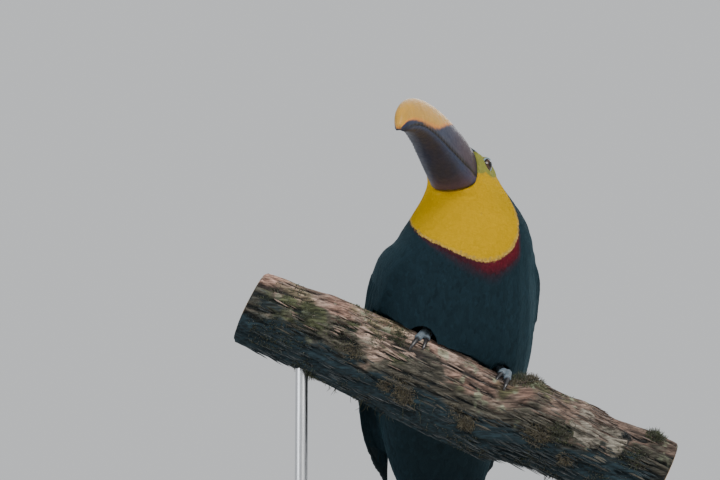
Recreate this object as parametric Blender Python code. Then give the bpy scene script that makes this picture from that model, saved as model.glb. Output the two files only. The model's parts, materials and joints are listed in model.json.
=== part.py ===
"""A life-size yellow-throated toucan gripping a cut length of sloping branch, on a plain display stand.

Metres, +Z up. The origin is the centre of the stand's underside. The camera side is -Y: the bird's chest
faces -Y with a small yaw to +X, and its head is turned back to its own right.

The bird is laid out in its own body frame, in centimetres: forward (the way the chest faces), left and up,
measured from the perch's axis under the bird. Its head is modelled looking straight ahead and is then turned.
"""

import math

import bmesh
import bpy
import numpy as np
from mathutils import Matrix, Vector

CM = 0.01
GAP = 0.0004  # what every solid keeps to its neighbour

# ---- driving sizes: the stand and the perch, in metres ----
BASE_SIZE = (0.30, 0.22, 0.022)
BASE_CORNER = 0.035
BASE_EDGE = 0.003
ROD_RADIUS = 0.005
ROD_SPREAD = 0.118  # each rod's distance from the middle, along X
ROD_IN_BASE = 0.012
ROD_IN_PERCH = 0.014
PERCH_HEIGHT = 0.27  # the perch's axis above the floor, under the bird
PERCH_RADIUS = 0.0325
PERCH_HALF_LENGTH = 0.175
PERCH_SLOPE = math.radians(27.0)
PERCH_TAPER = 0.09  # share of the radius gained at one end and lost at the other
# How the branch bends, in centimetres: a place along it, and how far its top and its underside lie off the taper.
PERCH_BENDS = (
    (-17.5, -1.40, 0.0), (-15.1, -1.05, 0.0), (-13.3, -0.90, 0.0), (-11.5, -0.45, 0.0),
    (-9.7, -0.36, 0.0), (-7.9, -0.25, 0.0), (-5.6, 0.0, 0.0), (3.9, 0.0, 0.0), (5.0, 1.0, 0.5),
    (6.0, 1.25, 0.8), (6.8, 1.0, 0.9), (8.2, 1.15, 1.1), (10.0, 1.35, 1.2), (11.8, 1.1, 1.25),
    (13.6, 1.3, 1.3), (15.4, 1.55, 1.4), (17.5, 1.65, 1.5),
)
PERCH_BEND_BLUR = (-0.8, -0.4, 0.0, 0.4, 0.8)  # the table is read at these distances and averaged

# ---- driving sizes: the bird, in centimetres and degrees ----
BODY_YAW = math.radians(22.0)
BODY_X = 1.2
SWAY = 0.10  # how far the lower body and tail swing to the left, for each centimetre down
SWAY_FROM = 9.0
HEAD_TURN = math.radians(-38.8)
TURN_FROM, TURN_FULL = 10.0, 15.6  # heights between which the neck twists
TURN_AXIS_FORWARD = 0.4
HEAD_SHIFT_LEFT = -0.3

BILL_LENGTH = 15.6
BILL_BASE = (3.45, 16.95)  # forward and up of the gape line's start, before the turn
BILL_PITCH = math.radians(9.7)
BILL_DROOP = 2.8
BILL_DROOP_POWER = 5.0

EYE_RADIUS = 0.62
EYE_PLACE = (1.4, 2.0, 18.35)

TAIL_LENGTH = 15.8
TAIL_TOP = (-8.0, -3.0)
TAIL_LEAN = math.radians(7.0)  # how far the tail trails behind the vertical
TAIL_ROOT_HALF = 2.3
TAIL_END_HALF = 3.3
TAIL_ROUND = 0.78  # the share of its length at which the tail's end starts to round off
TAIL_ARCH = 0.5
TAIL_HALF_THICK = (0.77, 0.15)  # at the root and at the end

BODY_RING = 24  # points round a body section
BODY_RINGS = 28

# Sections of the body from the tail's root to the bill, in centimetres:
# belly point (forward, up), back point (forward, up), half width.
BODY_SECTIONS = (
    (-8.15, -9.0, -9.45, -8.8, 2.2),
    (-7.5, -6.8, -9.75, -6.2, 3.8),
    (-6.7, -4.6, -9.9, -3.4, 4.8),
    (-5.1, -2.8, -9.9, -0.6, 5.5),
    (-2.9, -1.0, -9.4, 2.6, 6.05),
    (-0.3, 0.8, -8.7, 5.4, 6.5),
    (1.6, 3.3, -7.8, 8.2, 6.75),
    (2.9, 6.0, -6.8, 10.7, 6.6),
    (3.8, 8.7, -5.7, 12.9, 6.3),
    (4.4, 11.2, -4.5, 14.8, 5.6),
    (4.5, 13.1, -3.5, 16.5, 4.5),
    (4.2, 14.6, -2.6, 18.0, 3.4),
    (3.9, 15.4, -1.4, 19.2, 2.85),
    (3.7, 15.6, 0.5, 19.95, 2.6),
    (3.6, 15.65, 2.8, 20.0, 2.1),
)
HEAD_SECTION = 11  # the section where the head meets the neck
SHOULDER_SECTION = 9  # the section where the neck meets the trunk
BODY_SQUARENESS = 2.25

# The folded wing lies on an envelope of sections round the body, from the bend of the wing to its tip:
# belly and back point (forward, up), half width, where the wing starts and ends round the section in degrees
# from the belly, and its thickness, in centimetres.
WING_SECTIONS = (
    (4.3, 10.3, -4.7, 13.8, 5.8, 62.0, 106.0, 0.75),
    (4.0, 9.4, -5.15, 13.2, 6.35, 63.0, 116.0, 1.00),
    (3.6, 8.4, -5.8, 12.6, 6.85, 67.0, 127.0, 1.20),
    (2.7, 6.3, -6.9, 11.0, 7.2, 74.0, 139.0, 1.35),
    (1.0, 3.8, -8.1, 8.4, 7.4, 81.0, 147.0, 1.45),
    (-1.1, 1.6, -9.1, 5.5, 7.6, 87.0, 152.0, 1.45),
    (-3.4, -0.6, -9.9, 2.5, 7.4, 92.0, 155.0, 1.40),
    (-5.4, -2.8, -10.4, -0.5, 7.0, 96.0, 156.0, 1.20),
    (-6.9, -4.8, -10.7, -3.4, 6.35, 100.0, 156.0, 0.95),
    (-8.0, -7.0, -10.8, -6.4, 5.3, 106.0, 156.0, 0.55),
)
WING_RINGS = 17
WING_EDGE = 0.28  # the wing edge's thickness, as a share of its middle
SHOULDER_ROUND = 0.14  # the share of the wing over which its bend rounds off
TIP_ROUND = 0.30

# Bill sections as shares of its length: share, culmen height, jaw depth, half width, in centimetres.
BILL_SECTIONS = (
    (0.00, 2.95, 1.58, 1.86),
    (0.10, 3.14, 1.48, 1.79),
    (0.25, 3.10, 1.22, 1.60),
    (0.40, 2.84, 0.98, 1.38),
    (0.55, 2.48, 0.82, 1.18),
    (0.70, 2.06, 0.74, 1.00),
    (0.82, 1.66, 0.66, 0.85),
    (0.91, 1.24, 0.54, 0.67),
    (0.97, 0.80, 0.36, 0.45),
    (1.00, 0.34, 0.12, 0.20),
)
BILL_RINGS = 17
GAPE_SAG = 0.31  # how far the gape line hangs at the middle of the bill, in centimetres
SEAM = 0.02  # half the gap between the closed halves of the bill, in centimetres
JAW_REACH = 0.955  # where the lower half of the bill ends, as a share of the upper one

# Toes: name, reach round the perch and sideways spread in degrees, half width in centimetres.
TOES = (
    ("inner_front", 36.0, 7.0, 0.33),
    ("outer_front", 46.0, -8.0, 0.36),
    ("inner_back", -34.0, 12.0, 0.31),
    ("outer_back", -52.0, -13.0, 0.35),
)
# A foot's middle: its angle round the perch, from the top to the front, and its place along it in centimetres.
FOOT_ANGLE = {"left": math.radians(-14.0), "right": math.radians(-4.0)}
FOOT_ALONG = {"left": 2.9, "right": -4.0}
TOE_RINGS = 7
TOE_HEIGHT = 0.30  # a toe's middle above the bark
TOE_ARCH = 0.12
CLAW_LENGTH = 1.15
CLAW_ROOT = 0.74  # the claw's half width at its root, as a share of the toe's
CLAW_TIP_RADIUS = 0.00035
CLAW_CURVE = 1.35
CLAW_DIP = 0.42  # how far the claw's tip curls in, as a share of its length
HOLLOW_RADIUS = 1.1
HOLLOW_REACH = 95.0  # degrees round the perch, to each side of its top
LEG_RADIUS = 0.40
LEG_WAIST = 0.12
LEG_FOOT_HEIGHT = 0.0072  # the shank's lower end above the bark, in metres
LEG_TOP = {"left": (-2.7, 2.4, 4.4), "right": (-2.3, -3.3, 7.8)}


# ---- materials ----
def material(name, color, roughness, metallic=0.0):
    made = bpy.data.materials.new(name)
    made.use_nodes = True
    shader = made.node_tree.nodes["Principled BSDF"]
    shader.inputs["Base Color"].default_value = (*color, 1.0)
    shader.inputs["Roughness"].default_value = roughness
    shader.inputs["Metallic"].default_value = metallic
    made.diffuse_color = (*color, 1.0)
    return made


# ---- frames ----
def body_point(forward, left, up):
    """A point of the body frame, in centimetres, as a world point in metres."""
    left += SWAY * max(0.0, SWAY_FROM - up)
    x = BODY_X + forward * math.sin(BODY_YAW) + left * math.cos(BODY_YAW)
    y = -forward * math.cos(BODY_YAW) + left * math.sin(BODY_YAW)
    return Vector((x * CM, y * CM, PERCH_HEIGHT + up * CM))


def turned(forward, left, up, share=None):
    """The point after the neck's twist: share 1 is the head's whole turn; by default it follows the height."""
    if share is None:
        t = min(1.0, max(0.0, (up - TURN_FROM) / (TURN_FULL - TURN_FROM)))
        share = t * t * (3 - 2 * t)
    angle = HEAD_TURN * share
    ahead = forward - TURN_AXIS_FORWARD
    return (
        TURN_AXIS_FORWARD + ahead * math.cos(angle) - left * math.sin(angle),
        ahead * math.sin(angle) + left * math.cos(angle) + HEAD_SHIFT_LEFT * share,
        up,
    )


def head_point(forward, left, up):
    return body_point(*turned(forward, left, up, 1.0))


def bill_point(along, left, height):
    """A point of the bill's frame, in centimetres: along it from the gape's start, left, and above the gape."""
    forward = BILL_BASE[0] + along * math.cos(BILL_PITCH) - height * math.sin(BILL_PITCH)
    up = BILL_BASE[1] + along * math.sin(BILL_PITCH) + height * math.cos(BILL_PITCH)
    return head_point(forward, left, up)


PERCH_AXIS = Vector((math.cos(PERCH_SLOPE), 0.0, -math.sin(PERCH_SLOPE)))
PERCH_UP = Vector((math.sin(PERCH_SLOPE), 0.0, math.cos(PERCH_SLOPE)))
PERCH_FRONT = Vector((0.0, -1.0, 0.0))


def perch_bend(along):
    """How far the branch's top and underside lie off its straight taper, in metres."""
    places, top, under = np.array(PERCH_BENDS).T
    near = along / CM + np.array(PERCH_BEND_BLUR)
    return np.interp(near, places, top).mean() * CM, np.interp(near, places, under).mean() * CM


def perch_point(along, angle, radius):
    """A point round the perch, in metres: along its axis, angle from its top to the front, and radius."""
    outward = PERCH_UP * math.cos(angle) + PERCH_FRONT * math.sin(angle)
    top, under = perch_bend(along)
    middle = Vector((0.0, 0.0, PERCH_HEIGHT)) + PERCH_UP * ((top + under) / 2)
    return middle + PERCH_AXIS * along + outward * radius


def perch_radius(along, angle):
    """The bark's uneven radius: a taper, a slow oval twist, low lumps and the table's swells."""
    taper = 1.0 - PERCH_TAPER * along / PERCH_HALF_LENGTH
    oval = 0.030 * math.cos(2 * angle + 9.0 * along)
    lumps = 0.022 * math.sin(3 * angle - 31.0 * along) + 0.016 * math.sin(5 * angle + 47.0 * along)
    top, under = perch_bend(along)
    return PERCH_RADIUS * (taper + oval + lumps) + (top - under) / 2


# ---- mesh helpers ----
def resample(rows, shares):
    """Catmull-Rom through a table's rows, read at shares of the way from its first row to its last."""
    table = np.array(rows, float)
    last = len(table) - 1
    slopes = np.gradient(table, axis=0)
    out = []
    for at in np.array(shares) * last:
        i = min(int(at), last - 1)
        t = at - i
        out.append(
            table[i] * (2 * t**3 - 3 * t**2 + 1)
            + slopes[i] * (t**3 - 2 * t**2 + t)
            + table[i + 1] * (3 * t**2 - 2 * t**3)
            + slopes[i + 1] * (t**3 - t**2)
        )
    return out


def node(name, mesh, finish):
    obj = bpy.data.objects.new(name, mesh)
    bpy.context.scene.collection.objects.link(obj)
    mesh.materials.append(finish)
    return obj


def loft(name, rings, finish):
    """A closed solid through rings of equal length, with a flat face over each end."""
    bm = bmesh.new()
    made = [[bm.verts.new(p) for p in ring] for ring in rings]
    for near, far in zip(made, made[1:]):
        for i, a in enumerate(near):
            j = (i + 1) % len(near)
            bm.faces.new((a, near[j], far[j], far[i]))
    for ring in (made[0], made[-1]):
        bm.faces.new(ring)
    bmesh.ops.recalc_face_normals(bm, faces=bm.faces)
    bmesh.ops.triangulate(bm, faces=bm.faces)
    mesh = bpy.data.meshes.new(name)
    bm.to_mesh(mesh)
    bm.free()
    mesh.shade_smooth()
    mesh.set_sharp_from_angle(angle=math.radians(40))
    return node(name, mesh, finish)


def tube(name, centres, radii, sides, finish, across=None):
    """A solid tube through centres; across fixes the direction of each ring's first point."""
    rings = []
    for i, centre in enumerate(centres):
        ahead = centres[min(i + 1, len(centres) - 1)] - centres[max(i - 1, 0)]
        side = (across or Vector((0, 0, 1))).cross(ahead).normalized()
        up = ahead.cross(side).normalized()
        rings.append(
            [
                centre + (side * math.cos(a) + up * math.sin(a)) * radii[i]
                for a in np.linspace(0, 2 * math.pi, sides, endpoint=False)
            ]
        )
    return loft(name, rings, finish)


def hide_helper(obj):
    obj.hide_render = True
    obj.display_type = "WIRE"


def grown(source, by):
    """A hidden copy of a solid, grown by a gap, for cutting room for that solid out of its neighbours."""
    copy = source.copy()
    copy.name = source.name + "_room"
    bpy.context.scene.collection.objects.link(copy)
    swell = copy.modifiers.new("swell", "DISPLACE")
    swell.strength = by
    swell.mid_level = 0.0
    hide_helper(copy)
    return copy


def combine(target, other, operation):
    change = target.modifiers.new(operation.lower(), "BOOLEAN")
    change.operation = operation
    change.solver = "EXACT"
    change.object = other


def cut_for(neighbours, *sources):
    """Cuts room for each source out of each neighbour."""
    for source in sources:
        room = grown(source, GAP)
        for neighbour in neighbours:
            combine(neighbour, room, "DIFFERENCE")


def keep_side(obj, point, normal):
    """Keeps what lies on the normal's side of a plane and closes the cut."""
    bm = bmesh.new()
    bm.from_mesh(obj.data)
    geometry = bm.verts[:] + bm.edges[:] + bm.faces[:]
    cut = bmesh.ops.bisect_plane(
        bm, geom=geometry, plane_co=point, plane_no=normal, dist=1e-7, clear_inner=True
    )
    edges = [e for e in cut["geom_cut"] if isinstance(e, bmesh.types.BMEdge)]
    bmesh.ops.contextual_create(bm, geom=edges)
    bmesh.ops.recalc_face_normals(bm, faces=bm.faces)
    bm.to_mesh(obj.data)
    bm.free()


# ---- the body ----
def section_plane(index):
    """Middle and headward direction of one of BODY_SECTIONS, in the world, after the neck's twist."""
    belly_f, belly_u, back_f, back_u, _ = BODY_SECTIONS[index]
    belly = body_point(*turned(belly_f, 0.0, belly_u))
    back = body_point(*turned(back_f, 0.0, back_u))
    middle = (belly + back) / 2
    across = back - belly
    level = across.cross(Vector((0, 0, 1))).normalized()
    direction = level.cross(across).normalized()
    return middle, direction if direction.z > 0 else -direction


def section_point(section, angle, inset=0.0):
    """A body-frame point of a section, at an angle from its belly, moved in towards its middle by inset."""
    belly_f, belly_u, back_f, back_u, half = section
    power = 2.0 / BODY_SQUARENESS
    out = math.copysign(abs(math.sin(angle)) ** power, math.sin(angle)) * (half - inset)
    depth = math.hypot(back_f - belly_f, back_u - belly_u)
    swing = math.copysign(abs(math.cos(angle)) ** power, math.cos(angle)) * (1 - 2 * inset / depth)
    to_back = (1 - swing) / 2
    return belly_f + (back_f - belly_f) * to_back, out, belly_u + (back_u - belly_u) * to_back


def body_rings():
    angles = np.linspace(0, 2 * math.pi, BODY_RING, endpoint=False)
    return [
        [body_point(*turned(*section_point(section, angle))) for angle in angles]
        for section in resample(BODY_SECTIONS, np.linspace(0.0, 1.0, BODY_RINGS))
    ]


def make_body(black, yellow):
    """Trunk, neck and head: one loft, parted by two thin flat cuts."""
    rings = body_rings()
    trunk, neck, head = (
        loft(name, rings, finish)
        for name, finish in (("trunk", black), ("neck", yellow), ("head", yellow))
    )
    shoulder, shoulder_way = section_plane(SHOULDER_SECTION)
    throat, throat_way = section_plane(HEAD_SECTION)
    keep_side(trunk, shoulder - shoulder_way * GAP / 2, -shoulder_way)
    keep_side(neck, shoulder + shoulder_way * GAP / 2, shoulder_way)
    keep_side(neck, throat - throat_way * GAP / 2, -throat_way)
    keep_side(head, throat + throat_way * GAP / 2, throat_way)
    return trunk, neck, head


def wing_fullness(share):
    """The wing's width at a share of its length, as a share of its full one: round at the bend and tip."""
    bend = min(1.0, share / SHOULDER_ROUND)
    tip = min(1.0, (1.0 - share) / TIP_ROUND)
    return max(0.12, math.sqrt(1 - (1 - bend) ** 2) * (1 - (1 - tip) ** 2) ** 0.6)


def make_wing(side, finish):
    """One folded wing: a plate that follows the body from the flank to the back, thickest at mid-chord."""
    sign = 1 if side == "left" else -1
    shares = (1 - np.cos(np.linspace(0.0, math.pi, WING_RINGS))) / 2
    rings = []
    for share, (*section, low, high, thick) in zip(shares, resample(WING_SECTIONS, shares)):
        full = wing_fullness(share)
        middle, half = (low + high) / 2, (high - low) / 2 * full
        across = np.linspace(-1.0, 1.0, 8)
        outer = [section_point(section, math.radians(middle + half * c)) for c in across]
        inner = []
        for c in across[::-1]:
            depth = thick * (0.4 + 0.6 * full) * (WING_EDGE + (1 - WING_EDGE) * math.sqrt(1 - c * c))
            inner.append(section_point(section, math.radians(middle + half * c), depth))
        rings.append([body_point(f, sign * out, up) for f, out, up in outer + inner])
    return loft("wing_" + side, rings, finish)


def make_tail(finish):
    """The closed tail: a long arched blade, thick at its root and round at its end."""
    rings = []
    back = Vector((-math.cos(TAIL_LEAN), 0.0, math.sin(TAIL_LEAN)))
    down = Vector((-math.sin(TAIL_LEAN), 0.0, -math.cos(TAIL_LEAN)))
    for t in 1 - (1 - np.linspace(0.0, 1.0, 13)) ** 1.8:
        end = math.sqrt(1 - max(0.0, (t - TAIL_ROUND) / (1 - TAIL_ROUND)) ** 2)
        half = (TAIL_ROOT_HALF + (TAIL_END_HALF - TAIL_ROOT_HALF) * t) * max(end, 0.2)
        thick = TAIL_HALF_THICK[0] * (1 - t) + TAIL_HALF_THICK[1] * t
        ring = []
        for angle in np.linspace(0, 2 * math.pi, 16, endpoint=False):
            across = math.cos(angle)
            arch = -TAIL_ARCH * across * across * (0.5 + 0.5 * t)
            p = Vector((TAIL_TOP[0], 0.0, TAIL_TOP[1])) + down * (TAIL_LENGTH * t)
            p += back * (arch + math.sin(angle) * thick)
            ring.append(body_point(p.x, across * half, p.z))
        rings.append(ring)
    return loft("tail", rings, finish)


# ---- the head's hard parts ----
def droop(share):
    """How far the bill's axis bends down at a share of its length."""
    return -BILL_DROOP * share**BILL_DROOP_POWER


def gape_sag(share):
    """How far the gape line hangs below the bill's axis between its base and its tip."""
    return GAPE_SAG * math.sin(math.pi * share)


def bill_half(name, upper, finish):
    """Upper or lower half of the bill: half-oval sections over or under the gape line."""
    power = 0.80 if upper else 1.0
    rings = []
    for share, culmen, jaw, half in resample(BILL_SECTIONS, np.linspace(0.0, 1.0, BILL_RINGS)):
        share = min(share, 1.0) * (1.0 if upper else JAW_REACH)
        height = gape_sag(share) + (culmen if upper else -jaw)
        slope = BILL_DROOP * BILL_DROOP_POWER * share ** (BILL_DROOP_POWER - 1) / BILL_LENGTH
        seam = (SEAM if upper else -SEAM) + droop(share) - gape_sag(share)
        ring = []
        for angle in np.linspace(0, math.pi, 11):
            out = math.copysign(abs(math.cos(angle)) ** power, math.cos(angle)) * half
            rise = math.sin(angle) ** power * height
            ring.append(bill_point(share * BILL_LENGTH + rise * slope, out, seam + rise))
        rings.append(ring)
    return loft(name, rings, finish)


def make_eye(side, finish):
    forward, out, up = EYE_PLACE
    bm = bmesh.new()
    bmesh.ops.create_uvsphere(bm, u_segments=12, v_segments=7, radius=EYE_RADIUS * CM)
    mesh = bpy.data.meshes.new("eye_" + side)
    bm.to_mesh(mesh)
    bm.free()
    mesh.shade_smooth()
    eye = node("eye_" + side, mesh, finish)
    eye.location = head_point(forward, out if side == "left" else -out, up)
    return eye


# ---- legs and feet ----
def toe_path(side, reach, spread):
    """Centres of one toe, wrapped round the perch from the foot's middle."""
    inward = -1 if side == "left" else 1
    along = FOOT_ALONG[side] * CM
    centres = []
    for t in np.linspace(0.0, 1.0, TOE_RINGS):
        angle = FOOT_ANGLE[side] + math.radians(reach) * t
        sideways = inward * math.tan(math.radians(spread)) * abs(math.radians(reach)) * t * PERCH_RADIUS
        lift = TOE_ARCH * CM * math.sin(math.pi * t)
        centres.append(perch_point(along + sideways, angle, PERCH_RADIUS + TOE_HEIGHT * CM + lift))
    return centres


def toe_radii(half_width):
    """Half widths along a toe: a pad at each joint, narrowing to the claw."""
    return [
        half_width * CM * (1.08 - 0.30 * t + 0.09 * math.cos(t * 4 * math.pi))
        for t in np.linspace(0.0, 1.0, TOE_RINGS)
    ]


def make_claw(side, name, path, radius, finish):
    """One curved claw, from just past the toe's end down towards the bark."""
    ahead = (path[-1] - path[-2]).normalized()
    start = path[-1] + ahead * GAP * 2
    inward = Vector((0.0, 0.0, PERCH_HEIGHT)) - start
    inward = (inward - PERCH_AXIS * inward.dot(PERCH_AXIS)).normalized()
    centres, radii = [], []
    for t in np.linspace(0.0, 1.0, 5):
        reach = CLAW_LENGTH * math.sin(t * CLAW_CURVE) / math.sin(CLAW_CURVE)
        dip = CLAW_LENGTH * CLAW_DIP * t**2
        centres.append(start + ahead * (reach * CM) + inward * (dip * CM))
        radii.append(radius * CLAW_ROOT * (1 - t) ** 0.75 + CLAW_TIP_RADIUS)
    return tube(f"claw_{side}_{name}", centres, radii, 7, finish, PERCH_AXIS)


def make_foot(side, skin_finish, claw_finish):
    """A zygodactyl foot: two toes forward and two back, joined at a pad, and its four claws."""
    toes, claws = [], []
    for name, reach, spread, half_width in TOES:
        path = toe_path(side, reach, spread)
        radii = toe_radii(half_width)
        toes.append(tube(f"toe_{side}_{name}", path, radii, 8, skin_finish, PERCH_AXIS))
        claws.append(make_claw(side, name, path, radii[-1], claw_finish))
    foot = toes[0]
    foot.name = "foot_" + side
    for toe in toes[1:]:
        combine(foot, toe, "UNION")
        hide_helper(toe)
    return foot, claws


def make_foot_hollow(side, finish):
    """A hidden cutter: the hollow that the belly's feathers leave over a foot."""
    along = FOOT_ALONG[side] * CM
    centres = [
        perch_point(along, math.radians(degrees), PERCH_RADIUS)
        for degrees in np.linspace(-HOLLOW_REACH, HOLLOW_REACH, 12)
    ]
    hollow = tube("hollow_" + side, centres, [HOLLOW_RADIUS * CM] * len(centres), 12, finish, PERCH_AXIS)
    hide_helper(hollow)
    return hollow


def make_leg(side, finish):
    """The bare shank, from the foot's pad up into the belly feathers."""
    bottom = perch_point(FOOT_ALONG[side] * CM, FOOT_ANGLE[side] - 0.10, PERCH_RADIUS + LEG_FOOT_HEIGHT)
    top = body_point(*LEG_TOP[side])
    centres = [bottom.lerp(top, t) for t in np.linspace(0.0, 1.0, 5)]
    radii = [LEG_RADIUS * CM * (1.0 - LEG_WAIST * math.sin(math.pi * t)) for t in np.linspace(0.0, 1.0, 5)]
    return tube("leg_" + side, centres, radii, 10, finish, PERCH_AXIS)


# ---- the perch and the stand ----
def make_perch(finish):
    rings = [
        [
            perch_point(along, angle, perch_radius(along, angle))
            for angle in np.linspace(0, 2 * math.pi, 20, endpoint=False)
        ]
        for along in np.linspace(-PERCH_HALF_LENGTH, PERCH_HALF_LENGTH, 16)
    ]
    return loft("perch", rings, finish)


def make_base(finish):
    width, depth, height = BASE_SIZE
    bm = bmesh.new()
    bmesh.ops.create_cube(bm, size=1.0)
    bmesh.ops.scale(bm, vec=BASE_SIZE, verts=bm.verts)
    bmesh.ops.translate(bm, vec=(0, 0, height / 2), verts=bm.verts)
    upright = [e for e in bm.edges if abs(e.verts[0].co.z - e.verts[1].co.z) > height / 2]
    bmesh.ops.bevel(bm, geom=upright, offset=BASE_CORNER, segments=6, profile=0.5, affect="EDGES")
    rim = [e for e in bm.edges if all(v.co.z > height - 1e-6 for v in e.verts)]
    bmesh.ops.bevel(bm, geom=rim, offset=BASE_EDGE, segments=2, profile=0.5, affect="EDGES")
    mesh = bpy.data.meshes.new("stand_base")
    bm.to_mesh(mesh)
    bm.free()
    mesh.shade_smooth()
    mesh.set_sharp_from_angle(angle=math.radians(30))
    return node("stand_base", mesh, finish)


def make_rod(name, x, finish):
    """An upright rod, seated in the base and in the underside of the perch."""
    along = (x + PERCH_RADIUS * math.sin(PERCH_SLOPE)) / math.cos(PERCH_SLOPE)
    below = (PERCH_RADIUS - perch_bend(along)[1]) / math.cos(PERCH_SLOPE)
    under = PERCH_HEIGHT - x * math.tan(PERCH_SLOPE) - below
    bottom = BASE_SIZE[2] - ROD_IN_BASE
    top = under + ROD_IN_PERCH
    bm = bmesh.new()
    bmesh.ops.create_cone(
        bm, cap_ends=True, segments=16, radius1=ROD_RADIUS, radius2=ROD_RADIUS, depth=top - bottom
    )
    bmesh.ops.translate(bm, vec=(x, 0, (top + bottom) / 2), verts=bm.verts)
    mesh = bpy.data.meshes.new(name)
    bm.to_mesh(mesh)
    bm.free()
    mesh.shade_smooth()
    mesh.set_sharp_from_angle(angle=math.radians(30))
    return node(name, mesh, finish)


def main():
    for obj in list(bpy.data.objects):
        bpy.data.objects.remove(obj, do_unlink=True)

    black = material("black_plumage", (0.012, 0.013, 0.017), 0.55)
    yellow = material("yellow_plumage", (0.75, 0.52, 0.03), 0.7)
    horn_yellow = material("yellow_horn", (0.70, 0.47, 0.10), 0.4)
    horn_dark = material("dark_horn", (0.045, 0.030, 0.036), 0.42)
    eye_finish = material("eye", (0.02, 0.015, 0.012), 0.08)
    foot_skin = material("foot_skin", (0.16, 0.21, 0.25), 0.55)
    claw_horn = material("claw_horn", (0.02, 0.02, 0.022), 0.35)
    bark = material("bark", (0.20, 0.14, 0.10), 0.85)
    board = material("stand_board", (0.30, 0.28, 0.25), 0.5)
    steel = material("stand_steel", (0.45, 0.45, 0.46), 0.35, 1.0)

    trunk, neck, head = make_body(black, yellow)
    wings = [make_wing(side, black) for side in ("left", "right")]
    tail = make_tail(black)
    upper = bill_half("bill_upper", True, horn_yellow)
    lower = bill_half("bill_lower", False, horn_dark)
    eyes = [make_eye(side, eye_finish) for side in ("left", "right")]
    perch = make_perch(bark)
    feet, claws, legs = [], [], []
    for side in ("left", "right"):
        foot, foot_claws = make_foot(side, foot_skin, claw_horn)
        feet.append(foot)
        claws.extend(foot_claws)
        legs.append(make_leg(side, foot_skin))
    base = make_base(board)
    rods = [
        make_rod("stand_rod_left", -ROD_SPREAD, steel),
        make_rod("stand_rod_right", ROD_SPREAD, steel),
    ]

    cut_for([base, perch], *rods)
    cut_for([*feet, *claws, *legs, trunk, *wings, tail], perch)
    cut_for([trunk], tail)
    cut_for([trunk], *wings)
    cut_for([head], upper, lower, *eyes)
    for side, foot, leg in zip(("left", "right"), feet, legs):
        cut_for([leg], foot)
        cut_for([trunk], leg)
        combine(trunk, make_foot_hollow(side, black), "DIFFERENCE")


main()
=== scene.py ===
"""A still toucan on a display stand: skin, eyes, bill, feathers, feet, perch and stand over the solids."""
import json
import math
from contextlib import contextmanager

import bmesh
import bpy
import numpy as np
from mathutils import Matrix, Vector
from mathutils.bvhtree import BVHTree
from mathutils.geometry import delaunay_2d_cdt
from mathutils.kdtree import KDTree

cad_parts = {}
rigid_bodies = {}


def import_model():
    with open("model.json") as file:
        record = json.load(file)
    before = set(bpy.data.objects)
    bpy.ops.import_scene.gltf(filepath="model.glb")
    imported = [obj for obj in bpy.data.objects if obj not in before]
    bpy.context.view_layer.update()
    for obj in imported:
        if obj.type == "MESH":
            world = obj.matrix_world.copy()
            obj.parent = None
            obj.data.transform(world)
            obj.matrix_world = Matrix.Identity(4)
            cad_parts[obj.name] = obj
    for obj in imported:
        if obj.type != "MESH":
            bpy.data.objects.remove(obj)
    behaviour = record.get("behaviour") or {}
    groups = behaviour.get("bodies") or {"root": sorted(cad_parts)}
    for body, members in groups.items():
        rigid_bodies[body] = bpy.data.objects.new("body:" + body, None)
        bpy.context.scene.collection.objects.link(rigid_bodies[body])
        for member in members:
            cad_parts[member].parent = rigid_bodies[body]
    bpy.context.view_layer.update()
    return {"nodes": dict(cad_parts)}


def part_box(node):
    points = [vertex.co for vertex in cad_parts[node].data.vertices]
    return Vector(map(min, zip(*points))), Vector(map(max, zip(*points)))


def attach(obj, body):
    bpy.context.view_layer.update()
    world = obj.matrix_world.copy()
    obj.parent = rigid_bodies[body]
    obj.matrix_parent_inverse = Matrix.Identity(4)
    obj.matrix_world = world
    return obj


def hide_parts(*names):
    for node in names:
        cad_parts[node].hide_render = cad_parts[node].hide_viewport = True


bl_info = {
    "name": "Toucan on a display stand",
    "version": (1, 0, 0),
    "blender": (4, 5, 0),
    "location": "3D Viewport > Sidebar > Toucan",
    "description": "Builds the feathered bird, its perch and its stand over the packed solids",
    "category": "Add Mesh",
}

for leftover in list(bpy.data.objects):
    bpy.data.objects.remove(leftover)
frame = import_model()

CM = 0.01
# The bird's own axes: forward, left and up in centimetres from the middle of the perch, head straight.
PERCH_HEIGHT = 0.27
BODY_YAW = math.radians(22.0)
BODY_X = 1.2
SWAY = 0.10
SWAY_FROM = 9.0
HEAD_TURN = math.radians(-38.8)
TURN_FROM = 10.0
TURN_FULL = 15.6
TURN_AXIS_FORWARD = 0.4
HEAD_SHIFT_LEFT = -0.3
# Bill
BILL_LENGTH = 15.6
BILL_BASE = (3.45, 16.95)
BILL_PITCH = math.radians(9.7)
BILL_DROOP = 2.8
BILL_DROOP_POWER = 5.0
GAPE_SAG = 0.31
JAW_REACH = 0.955
SEAM = -0.01
# share of the length, culmen height, jaw depth, half width
BILL_SECTIONS = (
    (0.00, 2.95, 1.58, 1.86), (0.10, 3.14, 1.48, 1.79), (0.25, 3.10, 1.22, 1.60), (0.40, 2.84, 0.98, 1.38),
    (0.55, 2.48, 0.82, 1.18), (0.70, 2.06, 0.74, 1.00), (0.82, 1.66, 0.66, 0.85), (0.91, 1.24, 0.54, 0.67),
    (0.97, 0.80, 0.36, 0.45), (1.00, 0.34, 0.12, 0.20),
)
EYE_RADIUS = 0.62
EYE_PLACE = (1.4, 2.0, 18.35)
GAZE = (0.42, 1.0, -0.06)
ORBIT_DEPTH = 0.0031
FACE_RING = 0.17
# Tail
TAIL_LENGTH = 15.8
TAIL_TOP = (-8.0, -3.0)
TAIL_LEAN = math.radians(7.0)
TAIL_ROOT_HALF = 2.3
TAIL_END_HALF = 3.3
TAIL_ARCH = 0.5
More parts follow.
